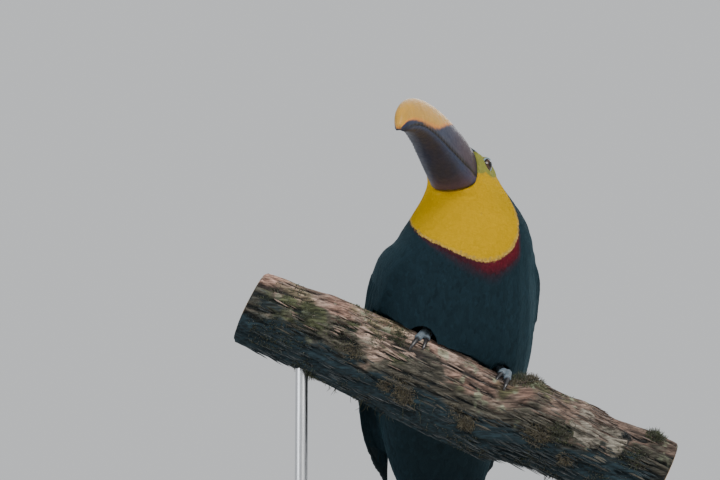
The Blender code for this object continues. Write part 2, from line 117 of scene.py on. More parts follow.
# Perch and feet
PERCH_RADIUS = 0.0325
PERCH_HALF_LENGTH = 0.175
PERCH_SLOPE = math.radians(27.0)
PERCH_TAPER = 0.09
# a place along the branch, and how far its top and its underside lie off the taper, in centimetres
PERCH_BENDS = (
    (-17.5, -1.40, 0.0), (-15.1, -1.05, 0.0), (-13.3, -0.90, 0.0), (-11.5, -0.45, 0.0), (-9.7, -0.36, 0.0),
    (-7.9, -0.25, 0.0), (-5.6, 0.0, 0.0), (3.9, 0.0, 0.0), (5.0, 1.0, 0.5), (6.0, 1.25, 0.8),
    (6.8, 1.0, 0.9), (8.2, 1.15, 1.1), (10.0, 1.35, 1.2), (11.8, 1.1, 1.25), (13.6, 1.3, 1.3),
    (15.4, 1.55, 1.4), (17.5, 1.65, 1.5),
)
PERCH_BEND_BLUR = (-0.8, -0.4, 0.0, 0.4, 0.8)
FOOT_ANGLE = {"left": math.radians(-14.0), "right": math.radians(-4.0)}
FOOT_ALONG = {"left": 2.9, "right": -4.0}

BODY_SQUARENESS = 2.25
# Wings: belly f and u, back f and u, half width, angles from the belly, thickness
WING_SECTIONS = (
    (4.3, 10.3, -4.7, 13.8, 5.8, 62, 106, 0.75), (4.0, 9.4, -5.15, 13.2, 6.35, 63, 116, 1.0),
    (3.6, 8.4, -5.8, 12.6, 6.85, 67, 127, 1.2), (2.7, 6.3, -6.9, 11.0, 7.2, 74, 139, 1.35),
    (1.0, 3.8, -8.1, 8.4, 7.4, 81, 147, 1.45), (-1.1, 1.6, -9.1, 5.5, 7.6, 87, 152, 1.45),
    (-3.4, -0.6, -9.9, 2.5, 7.4, 92, 155, 1.4), (-5.4, -2.8, -10.4, -0.5, 7.0, 96, 156, 1.2),
    (-6.9, -4.8, -10.7, -3.4, 6.35, 100, 156, 0.95), (-8.0, -7.0, -10.8, -6.4, 5.3, 106, 156, 0.55),
)
SHOULDER_ROUND = 0.14
TIP_ROUND = 0.30

PERCH_AXIS = np.array((math.cos(PERCH_SLOPE), 0.0, -math.sin(PERCH_SLOPE)))
PERCH_UP = np.array((math.sin(PERCH_SLOPE), 0.0, math.cos(PERCH_SLOPE)))
PERCH_FRONT = np.array((0.0, -1.0, 0.0))
PERCH_MIDDLE = np.array((0.0, 0.0, PERCH_HEIGHT))

FLESH = ("trunk", "neck", "head", "wing_left", "wing_right")
SIDES = {"left": 1.0, "right": -1.0}


# ---- places ----
def turned(f, l, u, share=None):
    """Turns points of the straight bird with its neck; share 1 is the full turn of the head."""
    share = ramp(u, TURN_FROM, TURN_FULL) if share is None else share
    angle = HEAD_TURN * share
    ahead = f - TURN_AXIS_FORWARD
    return (
        TURN_AXIS_FORWARD + ahead * np.cos(angle) - l * np.sin(angle),
        ahead * np.sin(angle) + l * np.cos(angle) + HEAD_SHIFT_LEFT * share,
        u,
    )


def to_world(f, l, u):
    l = l + SWAY * np.maximum(0.0, SWAY_FROM - u)
    x = BODY_X + f * math.sin(BODY_YAW) + l * math.cos(BODY_YAW)
    y = -f * math.cos(BODY_YAW) + l * math.sin(BODY_YAW)
    return np.stack(np.broadcast_arrays(x * CM, y * CM, PERCH_HEIGHT + u * CM), axis=-1)


def body_place(f, l, u, share=None):
    f, l, u = (np.asarray(v, float) for v in (f, l, u))
    return to_world(*turned(f, l, u, share))


def bill_place(along, left, height):
    f = BILL_BASE[0] + along * math.cos(BILL_PITCH) - height * math.sin(BILL_PITCH)
    u = BILL_BASE[1] + along * math.sin(BILL_PITCH) + height * math.cos(BILL_PITCH)
    return body_place(f, left, u, 1.0)


def bird_coords(points, share=None):
    """The reverse of body_place: forward, left and up in centimetres on the straight bird."""
    points = np.asarray(points, float)
    x = points[..., 0] / CM - BODY_X
    y = points[..., 1] / CM
    u = (points[..., 2] - PERCH_HEIGHT) / CM
    f = x * math.sin(BODY_YAW) - y * math.cos(BODY_YAW)
    l = x * math.cos(BODY_YAW) + y * math.sin(BODY_YAW) - SWAY * np.maximum(0.0, SWAY_FROM - u)
    share = ramp(u, TURN_FROM, TURN_FULL) if share is None else share
    angle = HEAD_TURN * share
    a = f - TURN_AXIS_FORWARD
    b = l - HEAD_SHIFT_LEFT * share
    return TURN_AXIS_FORWARD + a * np.cos(angle) + b * np.sin(angle), -a * np.sin(angle) + b * np.cos(angle), u


def bird_direction(f, l, u, share=0.0):
    """A direction of the bird's own axes in the world; share turns it with the head."""
    origin = body_place(0.0, 0.0, 12.0, share)
    d = body_place(f, l, 12.0 + u, share) - origin
    return d / np.linalg.norm(d)


def spine_forward(u):
    """How far forward the middle of the body is at each height."""
    return np.interp(
        u, (-12, -9, -6.5, -4, -2.8, -1, 0.8, 3.3, 6, 8.7, 11.2, 13, 15, 17, 19, 20),
        (-9.25, -8.9, -8.75, -8.4, -7.55, -6.4, -5.0, -3.8, -2.8, -1.9, -1.1, -0.6, -0.2, 0.2, 1.0, 1.6),
    )


def around_spine(f, l, u):
    """The angle from straight ahead round the middle of the body, 0 to 180 degrees."""
    return np.degrees(np.arctan2(np.abs(l), f - spine_forward(u)))


def perch_bend(along):
    """How far the branch's middle lies off the straight axis, and how much thicker it is there, in metres."""
    places, top, under = np.array(PERCH_BENDS).T
    near = [np.asarray(along) / CM + blur for blur in PERCH_BEND_BLUR]
    top, under = (np.mean([np.interp(n, places, column) for n in near], axis=0) * CM for column in (top, under))
    return (top + under) / 2, (top - under) / 2


def perch_place(along, angle, radius):
    along, angle, radius = np.broadcast_arrays(along, angle, radius)
    return (
        PERCH_MIDDLE
        + PERCH_AXIS * along[..., None]
        + PERCH_UP * perch_bend(along)[0][..., None]
        + (PERCH_UP * np.cos(angle)[..., None] + PERCH_FRONT * np.sin(angle)[..., None]) * radius[..., None]
    )


def perch_coords(points):
    d = np.asarray(points) - PERCH_MIDDLE
    along = d @ PERCH_AXIS
    up, front = d @ PERCH_UP - perch_bend(along)[0], d @ PERCH_FRONT
    return along, np.arctan2(front, up), np.hypot(up, front)


# ---- numbers that look natural ----
def grain(points, scale, seed=0):
    """Smooth noise from -1 to 1 on points, one wave per 1 / scale of their unit."""
    q = np.asarray(points, float) * scale + 31.7 * seed + 1000.0
    cell = np.floor(q).astype(np.int64)
    t = q - cell
    t = t * t * (3 - 2 * t)
    total = 0.0
    for corner in np.ndindex(2, 2, 2):
        c = cell + np.array(corner)
        h = c[..., 0] * 374761393 + c[..., 1] * 668265263 + c[..., 2] * 2147483647 + seed * 974711
        h = h & 0xFFFFFFFF
        h = ((h ^ (h >> 13)) * 1274126177) & 0xFFFFFFFF
        value = ((h ^ (h >> 16)) & 0xFFFF) / 32767.5 - 1.0
        weight = np.prod(np.where(np.array(corner) == 1, t, 1 - t), axis=-1)
        total = total + value * weight
    return total


def turns(count):
    """Angles that go once round."""
    return np.linspace(0, 2 * math.pi, count, endpoint=False)


def ramp(x, low, high):
    t = np.clip((x - low) / (high - low), 0.0, 1.0)
    return t * t * (3 - 2 * t)


def blend(a, b, t):
    return np.asarray(a) * (1 - t[..., None]) + np.asarray(b) * t[..., None]


def unit(vectors, least=0.0):
    """Vectors of length 1; least keeps a zero vector from dividing by zero."""
    return vectors / (np.linalg.norm(vectors, axis=-1, keepdims=True) + least)


def linear(red, green, blue):
    """An 8-bit screen colour as scene-linear values."""
    return tuple(((c / 255 + 0.055) / 1.055) ** 2.4 if c > 10 else c / 255 / 12.92 for c in (red, green, blue))


# ---- sizes and colours a user may change ----
def colour(name, description, rgb):
    return bpy.props.FloatVectorProperty(
        name=name, description=description, subtype="COLOR", size=3, min=0.0, max=1.0, default=linear(*rgb)
    )


def length(name, description, default, low, high):
    return bpy.props.FloatProperty(
        name=name, description=description, default=default, min=low, max=high, unit="LENGTH",
        subtype="DISTANCE", precision=4,
    )


class ToucanPlumage(bpy.types.PropertyGroup):
    black: colour("Black feathers", "Body, wings, crown and tail", (20, 36, 44))
    # maroon also stands for the red band's painted shade on the bird's right side
    maroon: colour("Maroon nape", "Warm tint of the hindneck and of the band's lower edge", (50, 20, 30))
    yellow: colour("Yellow bib", "Throat and upper breast", (190, 150, 0))
    peach: colour("Bib edge", "Paler feathers beside the face and at the bib's sides", (186, 150, 10))
    cream: colour("Cream feathers", "Edge under the bib and the rump", (194, 160, 84))
    red: colour("Red feathers", "Breast band and undertail coverts", (92, 24, 36))
    rump: colour("Rump", "Pale feathers over the tail's root", (226, 214, 178))
    bare: colour("Bare face", "Naked skin round the eye", (122, 124, 54))
    rim: colour("Eyelids", "Naked skin at the eye's edge", (128, 150, 168))
    density: bpy.props.FloatProperty(
        name="Coat density", description="More feathers above 1, fewer below", default=1.0, min=0.3, max=1.5
    )
    lift: length("Feather lift", "How far the body feathers' tips stand off", 0.0017, 0.0, 0.006)


class ToucanHorn(bpy.types.PropertyGroup):
    yellow: colour("Pale horn", "Upper part of the upper half", (188, 141, 50))
    orange: colour("Horn edge", "Line where the pale horn meets the dark", (206, 132, 46))
    slate: colour("Slate horn", "Outer length of the bill's dark sides", (29, 37, 62))
    maroon: colour("Maroon horn", "Dark sides near the face", (52, 31, 41))
    gape: colour("Gape line", "Cutting edges", (26, 20, 18))
    claw: colour("Claws", "Horn of the claws", (36, 34, 36))
    foot: colour("Feet", "Scutes of the feet and shanks", (98, 110, 120))


class ToucanStand(bpy.types.PropertyGroup):
    bark: colour("Bark", "Dry upper bark", (152, 130, 117))
    # the sides' colour: painted half-shade between the lit top and the damp underside
    side_shade: colour("Bark in half-shade", "The branch's sides, darker as painted half-shade", (72, 69, 61))
    flake: colour("Bare flake", "Smooth pale scale of bark", (118, 113, 103))
    debris: colour("Debris", "Dry roots and moss caught on the bark", (112, 104, 80))
    # the damp underside's colour, darker as painted shade
    shade: colour("Damp bark in painted shade", "Underside of the branch", (26, 40, 46))
    moss: colour("Moss", "Moss and algae on the bark", (74, 82, 50))
    lichen: colour("Lichen", "Pale lichen", (132, 138, 116))
    board: colour("Board", "Wood of the display board", (196, 160, 118))
    ring_width: length("Growth ring", "Width of a growth ring on the cut ends", 0.0028, 0.001, 0.01)


# ---- meshes and materials ----
def add_object(name, data):
    obj = bpy.data.objects.new(name, data)
    bpy.context.scene.collection.objects.link(obj)
    return obj


@contextmanager
def edited(mesh):
    """A mesh opened as a bmesh, and written back at the end."""
    bm = bmesh.new()
    bm.from_mesh(mesh)
    yield bm
    bm.to_mesh(mesh)
    bm.free()


def shade_smooth(obj, smooth):
    obj.data.polygons.foreach_set("use_smooth", [smooth] * len(obj.data.polygons))


def place_mesh(name, verts, faces, material):
    mesh = bpy.data.meshes.new(name)
    mesh.from_pydata([tuple(v) for v in np.asarray(verts, float)], [], [tuple(f) for f in faces])
    mesh.validate()
    mesh.update()
    if material:
        mesh.materials.append(material)
    obj = add_object(name, mesh)
    shade_smooth(obj, True)
    return obj


def tube_faces(rings, sides, closed_ends=True):
    """Faces between rings of points, one after the other, and the two ends."""
    turn = [(j, (j + 1) % sides) for j in range(sides)]
    starts = range(0, (rings - 1) * sides, sides)
    faces = [(a + j, a + k, a + sides + k, a + sides + j) for a in starts for j, k in turn]
    if closed_ends:
        faces += [tuple(range(sides))[::-1], tuple(range((rings - 1) * sides, rings * sides))]
    return faces


def outward(obj):
    with edited(obj.data) as bm:
        bmesh.ops.recalc_face_normals(bm, faces=bm.faces)
    return obj


def rows_of(collection, field, width=3, kind=float):
    """One field of a mesh's vertices, edges or values, a row for each."""
    out = np.empty(len(collection) * width, kind)
    collection.foreach_get(field, out)
    return out.reshape(-1, width)


def coords_of(obj):
    return rows_of(obj.data.vertices, "co")


def normals_of(obj):
    return rows_of(obj.data.vertex_normals, "vector")


def set_coords(obj, points):
    obj.data.vertices.foreach_set("co", np.asarray(points, float).ravel())
    obj.data.update()


def edges_of(obj):
    return rows_of(obj.data.edges, "vertices", 2, np.int32)


def relaxed(values, edges, rounds, keep=0.0):
    """Averages values over each vertex's neighbours, rounds times."""
    values = np.array(values, float)
    count = np.bincount(edges.ravel(), minlength=len(values))[:, None].clip(1)
    for _ in range(rounds):
        total = np.zeros_like(values)
        np.add.at(total, edges[:, 0], values[edges[:, 1]])
        np.add.at(total, edges[:, 1], values[edges[:, 0]])
        values = values * keep + total / count * (1 - keep)
    return values


def opaque(colours):
    """Colours with a last column of 1."""
    return np.concatenate([colours, np.ones((len(colours), 1))], axis=1)


def paint(obj, name, colours):
    layer = obj.data.color_attributes.new(name=name, type="FLOAT_COLOR", domain="POINT")
    layer.data.foreach_set("color", opaque(np.asarray(colours, float)).ravel())


def dress(obj, material):
    """Gives a whole piece one material."""
    obj.data.materials.clear()
    obj.data.materials.append(material)
    obj.data.polygons.foreach_set("material_index", [0] * len(obj.data.polygons))


def merged_copy(name, nodes, cut=None, extra=()):
    """One mesh of copies of solids and extra meshes; the plane cut (point, normal) trims the last solid."""
    whole = bmesh.new()
    for mesh in extra:
        whole.from_mesh(mesh)
    for node in nodes:
        part = bmesh.new()
        part.from_mesh(frame["nodes"][node].data)
        bmesh.ops.remove_doubles(part, verts=part.verts, dist=1e-6)
        if cut and node == nodes[-1]:
            found = bmesh.ops.bisect_plane(
                part, geom=part.verts[:] + part.edges[:] + part.faces[:], plane_co=cut[0], plane_no=cut[1],
                clear_outer=True,
            )
            rim = [e for e in found["geom_cut"] if isinstance(e, bmesh.types.BMEdge)]
            bmesh.ops.holes_fill(part, edges=rim, sides=0)
        mesh = bpy.data.meshes.new("part")
        part.to_mesh(mesh)
        part.free()
        whole.from_mesh(mesh)
        bpy.data.meshes.remove(mesh)
    mesh = bpy.data.meshes.new(name)
    whole.to_mesh(mesh)
    whole.free()
    return add_object(name, mesh)


def apply_modifiers(obj):
    """Turns the evaluated object into its plain mesh and takes the modifiers off."""
    graph = bpy.context.evaluated_depsgraph_get()
    shown = obj.evaluated_get(graph)
    mesh = bpy.data.meshes.new_from_object(shown, preserve_all_data_layers=True, depsgraph=graph)
    old = obj.data
    obj.modifiers.clear()
    obj.data = mesh
    if old.users == 0:
        bpy.data.meshes.remove(old)
    return obj


def voxel_remesh(obj, size, rounds):
    """Rebuilds a piece as one closed surface and smooths it without shrinking it."""
    remesh = obj.modifiers.new("remesh", "REMESH")
    remesh.mode, remesh.voxel_size, remesh.use_smooth_shade = "VOXEL", size, True
    apply_modifiers(obj)
    points, edges = coords_of(obj), edges_of(obj)
    for _ in range(rounds):
        points = relaxed(points, edges, 1, 0.5)
        points = points + (points - relaxed(points, edges, 1, 0.5)) * 0.9
    set_coords(obj, points)


def add_node(tree, kind, inputs=(), **settings):
    """One node with its settings, and its inputs set or joined."""
    node = tree.nodes.new(kind)
    for key, value in settings.items():
        setattr(node, key, value)
    for key, value in dict(inputs).items():
        if isinstance(value, bpy.types.NodeSocket):
            tree.links.new(value, node.inputs[key])
        else:
            node.inputs[key].default_value = value
    return node


class Shader:
    """A material's node tree, with short calls to add and join nodes."""

    def __init__(self, name, rgb=(0.8, 0.8, 0.8), roughness=0.5, **sockets):
        self.material = bpy.data.materials.new(name)
        self.material.use_nodes = True
        self.tree = self.material.node_tree
        self.skin = self.tree.nodes["Principled BSDF"]
        self.skin.inputs["Base Color"].default_value = (*rgb, 1.0)
        self.skin.inputs["Roughness"].default_value = roughness
        for key, value in sockets.items():
            self.skin.inputs[key.replace("_", " ")].default_value = value

    def node(self, kind, inputs=(), **settings):
        return add_node(self.tree, kind, inputs, **settings)

    def math(self, operation, a, b):
        return self.node("ShaderNodeMath", {0: a, 1: b}, operation=operation).outputs[0]

    def noise(self, vector, scale, detail=3.0, roughness=0.55):
        given = {"Vector": vector, "Scale": scale, "Detail": detail, "Roughness": roughness}
        return self.node("ShaderNodeTexNoise", given).outputs["Fac"]

    def stretched(self, vector, scale, rotation=(0.0, 0.0, 0.0)):
        given = {"Vector": vector, "Rotation": rotation, "Scale": scale}
        return self.node("ShaderNodeMapping", given).outputs[0]

    def ramp(self, factor, stops):
        node = self.node("ShaderNodeValToRGB", {"Fac": factor})
        band = node.color_ramp
        while len(band.elements) < len(stops):
            band.elements.new(0.5)
        for element, (place, rgb) in zip(band.elements, stops):
            element.position = place
            element.color = (*rgb, 1.0) if hasattr(rgb, "__len__") else (rgb, rgb, rgb, 1.0)
        return node.outputs["Color"]

    def between(self, factor, low, high):
        """Low to high over the middle of a noise's range."""
        return self.ramp(factor, ((0.3, low), (0.7, high)))

    def times(self, a, b, share=1.0):
        """Two colours multiplied, by a share of the second."""
        node = self.node("ShaderNodeMix", data_type="RGBA", blend_type="MULTIPLY")
        node.inputs[0].default_value = share
        self.tree.links.new(a, node.inputs[6])
        self.tree.links.new(b, node.inputs[7])
        return node.outputs[2]

    def tinted(self, tone):
        """The piece's own tint, multiplied by a tone."""
        return self.times(self.node("ShaderNodeAttribute", attribute_name="tint").outputs["Color"], tone)

    def object_coords(self):
        return self.node("ShaderNodeTexCoord").outputs["Object"]

    def map_coords(self, name):
        return self.node("ShaderNodeUVMap", uv_map=name).outputs["UV"]

    def colour(self, value):
        self.tree.links.new(value, self.skin.inputs["Base Color"])

    def rough(self, value):
        self.tree.links.new(value, self.skin.inputs["Roughness"])

    def bump(self, height, strength, distance):
        node = self.node("ShaderNodeBump", {"Height": height, "Strength": strength, "Distance": distance})
        self.tree.links.new(node.outputs["Normal"], self.skin.inputs["Normal"])


# sheen, its tint, roughness and the barbs' contrast of each kind of feather
FEATHER_FINISH = {
    "black_plumage": (0.14, (0.22, 0.50, 0.62), 0.65, 0.16),
    "yellow_plumage": (0.02, (1.0, 0.75, 0.15), 0.9, 0.12),
    "red_plumage": (0.08, (1.0, 0.30, 0.30), 0.80, 0.35),
    "cream_plumage": (0.15, (1.0, 0.95, 0.84), 0.85, 0.22),
}


def feather_material(slot):
    """Feathers coloured by their tint, with oblique barbs from the vane's own map."""
    name = "feathers_" + slot
    if name in bpy.data.materials:
        return bpy.data.materials[name]
    sheen, sheen_tint, roughness, contrast = FEATHER_FINISH[slot]
    s = Shader(name, roughness=roughness, Sheen_Weight=sheen, Sheen_Roughness=0.5, Specular_IOR_Level=0.06)
    s.skin.inputs["Sheen Tint"].default_value = (*sheen_tint, 1.0)
    parts = s.node("ShaderNodeSeparateXYZ", {0: s.map_coords("vane")})
    across = s.math("ABSOLUTE", s.math("SUBTRACT", parts.outputs[0], 0.5), 0.5)
    barb = s.math("SUBTRACT", parts.outputs[1], s.math("MULTIPLY", across, 0.7))
    lane = {0: s.math("MULTIPLY", barb, 26.0), 1: s.math("MULTIPLY", across, 2.0)}
    lane = s.node("ShaderNodeCombineXYZ", lane)
    fine = s.noise(lane.outputs[0], 1.6, 2.0)
    s.colour(s.tinted(s.between(fine, 1.0 - contrast, 1.0 + contrast * 0.4)))
    s.bump(fine, 0.5, 0.0004)
    return s.material


def finish(obj, slot, *nodes):
    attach(obj, "root")
    if nodes:
        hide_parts(*nodes)
    return obj


# ---- markings ----
def bib_edge(angle):
    """Height of the bib's lower edge at an angle round the breast."""
    return np.interp(
        angle, (0, 10, 20, 30, 40, 47, 53, 60, 70, 80, 88, 95, 180),
        (10.36, 10.44, 10.74, 11.2, 11.85, 12.5, 13.3, 14.0, 14.65, 15.4, 16.3, 17.3, 26.0),
    )


def bare_face(f, l, u):
    """1 on the naked skin round the eye and along the bill's base, 0 on feathers."""
    round_eye = ((f - 1.60) / 1.70) ** 2 + ((u - 18.28) / 0.98) ** 2
    by_bill = ((f - 3.2) / 1.0) ** 2 + ((u - 18.25) / 1.0) ** 2
    inside = np.minimum(round_eye, by_bill)
    return (1 - ramp(inside, 0.82, 1.05)) * ramp(np.abs(l), 0.75, 1.05)


def regions(points):
    """Weights of the markings at points: a dictionary of arrays from 0 to 1."""
    f, l, u = bird_coords(points)
    place = np.stack([f, l, u], -1)
    jitter = 0.10 * grain(place, 0.9, 3) + 0.05 * grain(place, 4.0, 4)
    angle = around_spine(f, l, u)
    turned_left = np.interp(u, (10.0, 12.2, 13.8, 16.0), (6.0, 4.0, -6.0, -6.0)) * ramp(l, -0.5, 2.5)
    above = u - bib_edge(angle + turned_left) + jitter
    reach = angle + 12 * ramp(l, 0.5, 2.0)
    width = np.interp(reach, (0, 15, 30, 45, 55, 70), (1.55, 1.5, 1.3, 1.0, 0.35, 0.0))
    width = width * (0.82 + 0.18 * np.tanh(l))
    off_bib = ramp(above, -0.16, -0.04)
    red = ramp(above, -1.3 * width - 0.3, -0.25 * width) * (1 - off_bib) * ramp(78 - angle, -4, 6)
    # the red weaker on the bird's right side: painted shade
    red = red * (0.86 + 0.14 * np.tanh(l * 0.8)) * ramp(width, 0.0, 0.4)
    cream = off_bib * (1 - ramp(above, -0.04, 0.10)) * ramp(84 - angle, -4, 6)
    yellow = ramp(above, -0.02, 0.10) * (1 - ramp(u + jitter, 18.75, 19.0)) * ramp(97 - angle, -2, 2)
    ahead = f - spine_forward(u)
    vent = ramp(-u, 6.3, 7.4) * ramp(ahead, 0.15, 0.7)
    middle = 1 - ramp(np.abs(l) + 4 * jitter, 1.8, 2.9)
    rump = ramp(-u, 1.8, 3.2) * ramp(-ahead, 0.5, 1.3) * middle * (1 - vent)
    return {
        "f": f, "l": l, "u": u, "angle": angle, "above": above, "yellow": yellow, "cream": cream, "red": red,
        "vent": vent, "rump": rump, "bare": bare_face(f, l, u),
    }


def plumage(m):
    """The coat's colour at places with these markings, as linear RGB."""
    tones = bpy.context.scene.toucan_plumage
    warm = ramp(m["u"], 9.0, 14.0) * ramp(m["angle"], 95.0, 130.0) * (1 - ramp(m["u"], 17.0, 18.5))
    rgb = blend(tones.black, np.array(tones.maroon) * 0.5, warm * 0.5)
    # the band deepens to maroon at its lower edge, and on the bird's right side as painted shade
    band_fade_and_side_light = ramp(m["above"], -1.5, -0.4) * (0.38 + 0.62 * ramp(m["l"], -1.6, 0.6))
    dark_red = blend(tones.maroon, tones.red, np.where(m["vent"] > 0, 1.0, band_fade_and_side_light))
    rgb = blend(blend(rgb, dark_red, m["red"]), tones.cream, m["cream"])
    by_face = ramp(m["u"], 15.8, 17.6) * ramp(m["angle"], 20.0, 60.0) * 0.6
    pale = np.maximum(ramp(m["angle"], 34.0, 60.0) * 0.55, by_face)
    pale = np.maximum(pale, 0.7 * (1 - ramp(m["above"], 0.0, 0.5)))
    gold = blend(tones.yellow, tones.peach, np.clip(pale, 0, 1))
    gold = blend(gold, tones.cream, 0.4 * (1 - ramp(m["above"], 0.02, 0.35)))
    rgb = blend(blend(rgb, gold, m["yellow"]), tones.red, m["vent"])
    return blend(rgb, tones.rump, m["rump"] * (1 - m["vent"]))


# ---- skin ----
SKIN_VOXEL = 0.0019
# the skin under the feathers has the coat's colour, 8 % darker: painted shade between the feathers
SKIN_UNDER_FEATHERS = 0.92


def coat_depth(m):
    """How far the skin lies inside the feathers' outline, in metres."""
    depth = np.interp(m["u"], (-8, 0, 10, 14, 16.5, 20), (0.0022, 0.0030, 0.0030, 0.0024, 0.0017, 0.0014))
    return depth * (1 - m["bare"])


def chin_wedge():
    """The feathered chin: the flesh that reaches forward under the base of the bill, as one closed mesh."""
    angles = np.linspace(0.0, math.pi, 41)
    reach = chin_edge(np.degrees(angles)) + 0.004
    rows = np.linspace(0.0, 1.0, 16)[:, None] * reach[None, :]
    lanes = [bill_shape(False, rows[:, j], angles[None, j : j + 1])[0][:, 0] for j in range(41)]
    points = np.stack(lanes, axis=1)
    away = unit(points - bill_place(rows * BILL_LENGTH, 0.0, 0.0))
    under = ramp(np.sin(angles), 0.25, 0.8)[None, :]
    fill = 0.0075 * (1 - ramp(rows, -0.03, 0.055)) * under + 0.0012 * (1 - ramp(rows / reach, 0.75, 1.0))
    points = points + away * fill[..., None]
    wedge = outward(place_mesh("chin", points.reshape(-1, 3), tube_faces(16, 41), None))
    mesh = wedge.data
    bpy.data.objects.remove(wedge)
    return mesh


def eye_axes(side):
    """An eye's centre, the way it looks, and ahead and up across its front."""
    sign = SIDES[side]
    centre = body_place(EYE_PLACE[0], sign * EYE_PLACE[1], EYE_PLACE[2], 1.0)
    gaze = bird_direction(GAZE[0], sign * GAZE[1], GAZE[2], 1.0)
    ahead = unit(np.cross(bird_direction(0.0, 0.0, 1.0, 1.0), gaze))
    return centre, gaze, ahead, np.cross(gaze, ahead)


def from_eyes(f, l, u, sideways):
    """Distance from the nearer eye in centimetres; sideways weighs the distance across the head."""
    ahead, out, up = f - EYE_PLACE[0], np.abs(l) - EYE_PLACE[1], u - EYE_PLACE[2]
    return np.sqrt(ahead**2 + up**2 + sideways * out**2)


def lid_mesh(side, ground, rim, bare):
    """Two folded lids round one eye, spread out onto the face: vertices, faces and colours."""
    centre, gaze, ahead, up = eye_axes(side)
    spokes, radius = 96, EYE_RADIUS * CM
    verts, tints = [], []
    # degrees from the gaze and rise over the ball in tenths of a millimetre
    folds = (
        (59, 0.5), (60.5, 4.6), (63.5, 7.4), (67, 6.6), (70, 4.2), (73, 5.2), (77, 7.0), (81, 5.6), (85, 4.2),
    )
    spread = ((1.13, 4.0), (1.24, 3.6), (1.36, 2.0), (1.50, 0.2), (1.62, -6.0))
    for i in range(spokes):
        phi = 2 * math.pi * i / spokes
        round_eye = ahead * math.cos(phi) + up * math.sin(phi)
        squeeze = 1.0 - 0.09 * max(0.0, math.sin(phi)) - 0.04 * max(0.0, -math.sin(phi))
        for k, (degrees, rise) in enumerate(folds):
            beads = 0.9 * math.sin(phi * 23 + k * 1.1) + 0.7 * math.sin(phi * 41 + k * 2.3)
            alpha = math.radians(degrees * squeeze)
            reach = radius + (rise + (beads if k > 1 else 0.0)) * 0.0001
            verts.append(centre + (gaze * math.cos(alpha) + round_eye * math.sin(alpha)) * reach)
            t = min(1.0, max(0.0, (degrees - 66) / 8))
            # the crease between the folds is darker: painted shade
            tints.append(rim * (1 - t) + bare * t * (0.72 if k == 4 else 1.0))
        for out, rise in spread:
            start = centre + round_eye * radius * out + gaze * 0.02
            hit = ground.ray_cast(Vector(start), Vector(-gaze))[0]
            if hit is None:
                raise RuntimeError("the eyelids miss the face")
            verts.append(np.array(hit) + gaze * (rise + 0.8 * math.sin(phi * 31 + out * 40)) * 0.0001)
            tints.append(bare)
        for share, depth in ((1.3, 0.004), (0.9, 0.004)):
            verts.append(centre + round_eye * radius * share - gaze * depth)
            tints.append(bare)
    sides = len(verts) // spokes
    starts = [(i * sides, (i + 1) % spokes * sides) for i in range(spokes)]
    steps = [(j, (j + 1) % sides) for j in range(sides)]
    return verts, [(a + j, b + j, b + n, a + n) for a, b in starts for j, n in steps], tints


def join_lids(skin):
    tones = bpy.context.scene.toucan_plumage
    mesh = skin.data
    ground = BVHTree.FromPolygons([v.co[:] for v in mesh.vertices], [p.vertices[:] for p in mesh.polygons])
    parts = []
    for side in SIDES:
        verts, faces, tints = lid_mesh(side, ground, np.array(tones.rim), np.array(tones.bare))
        lid = outward(place_mesh("lid_" + side, verts, faces, skin.data.materials[0]))
        paint(lid, "tint", tints)
        parts.append(lid)
    with bpy.context.temp_override(active_object=skin, selected_editable_objects=[skin, *parts], object=skin):
        bpy.ops.object.join()


def fold_face(skin):
    """Finer faces on the naked skin, with fine rings and creases round each eye."""
    for _ in range(2):
        with edited(skin.data) as bm:
            f, l, u = bird_coords(np.array([f.calc_center_median() for f in bm.faces]), 1.0)
            near = (bare_face(f, l, u) > 0.02) & (u > 15.0)
            edges = {e for face, hit in zip(bm.faces, near) if hit for e in face.edges}
            bmesh.ops.subdivide_edges(bm, edges=list(edges), cuts=1, use_grid_fill=True, smooth=0.6)
    points = coords_of(skin)
    f, l, u = bird_coords(points, 1.0)
    from_eye = from_eyes(f, l, u, 0.3)
    bend = grain(points, 260.0, 5) * 0.9 + grain(points, 90.0, 6) * 1.2
    rings = np.sin(from_eye * 2 * math.pi / FACE_RING + bend * 2.2)
    pleats = grain(points, 700.0, 7)
    fade = bare_face(f, l, u) * ramp(from_eye, 0.55, 0.8)
    set_coords(skin, points + normals_of(skin) * ((rings * 0.00016 + pleats * 0.00012) * fade)[:, None])


def skin_material():
    s = Shader("bare_skin", roughness=0.62, Subsurface_Weight=0.05, Subsurface_Scale=0.002,
               Specular_IOR_Level=0.2)
    where = s.object_coords()
    s.colour(s.tinted(s.between(s.noise(where, 160.0), (0.78, 0.80, 0.72), (1.1, 1.06, 1.0))))
    s.bump(s.noise(where, 1800.0), 0.4, 0.0003)
    return s.material


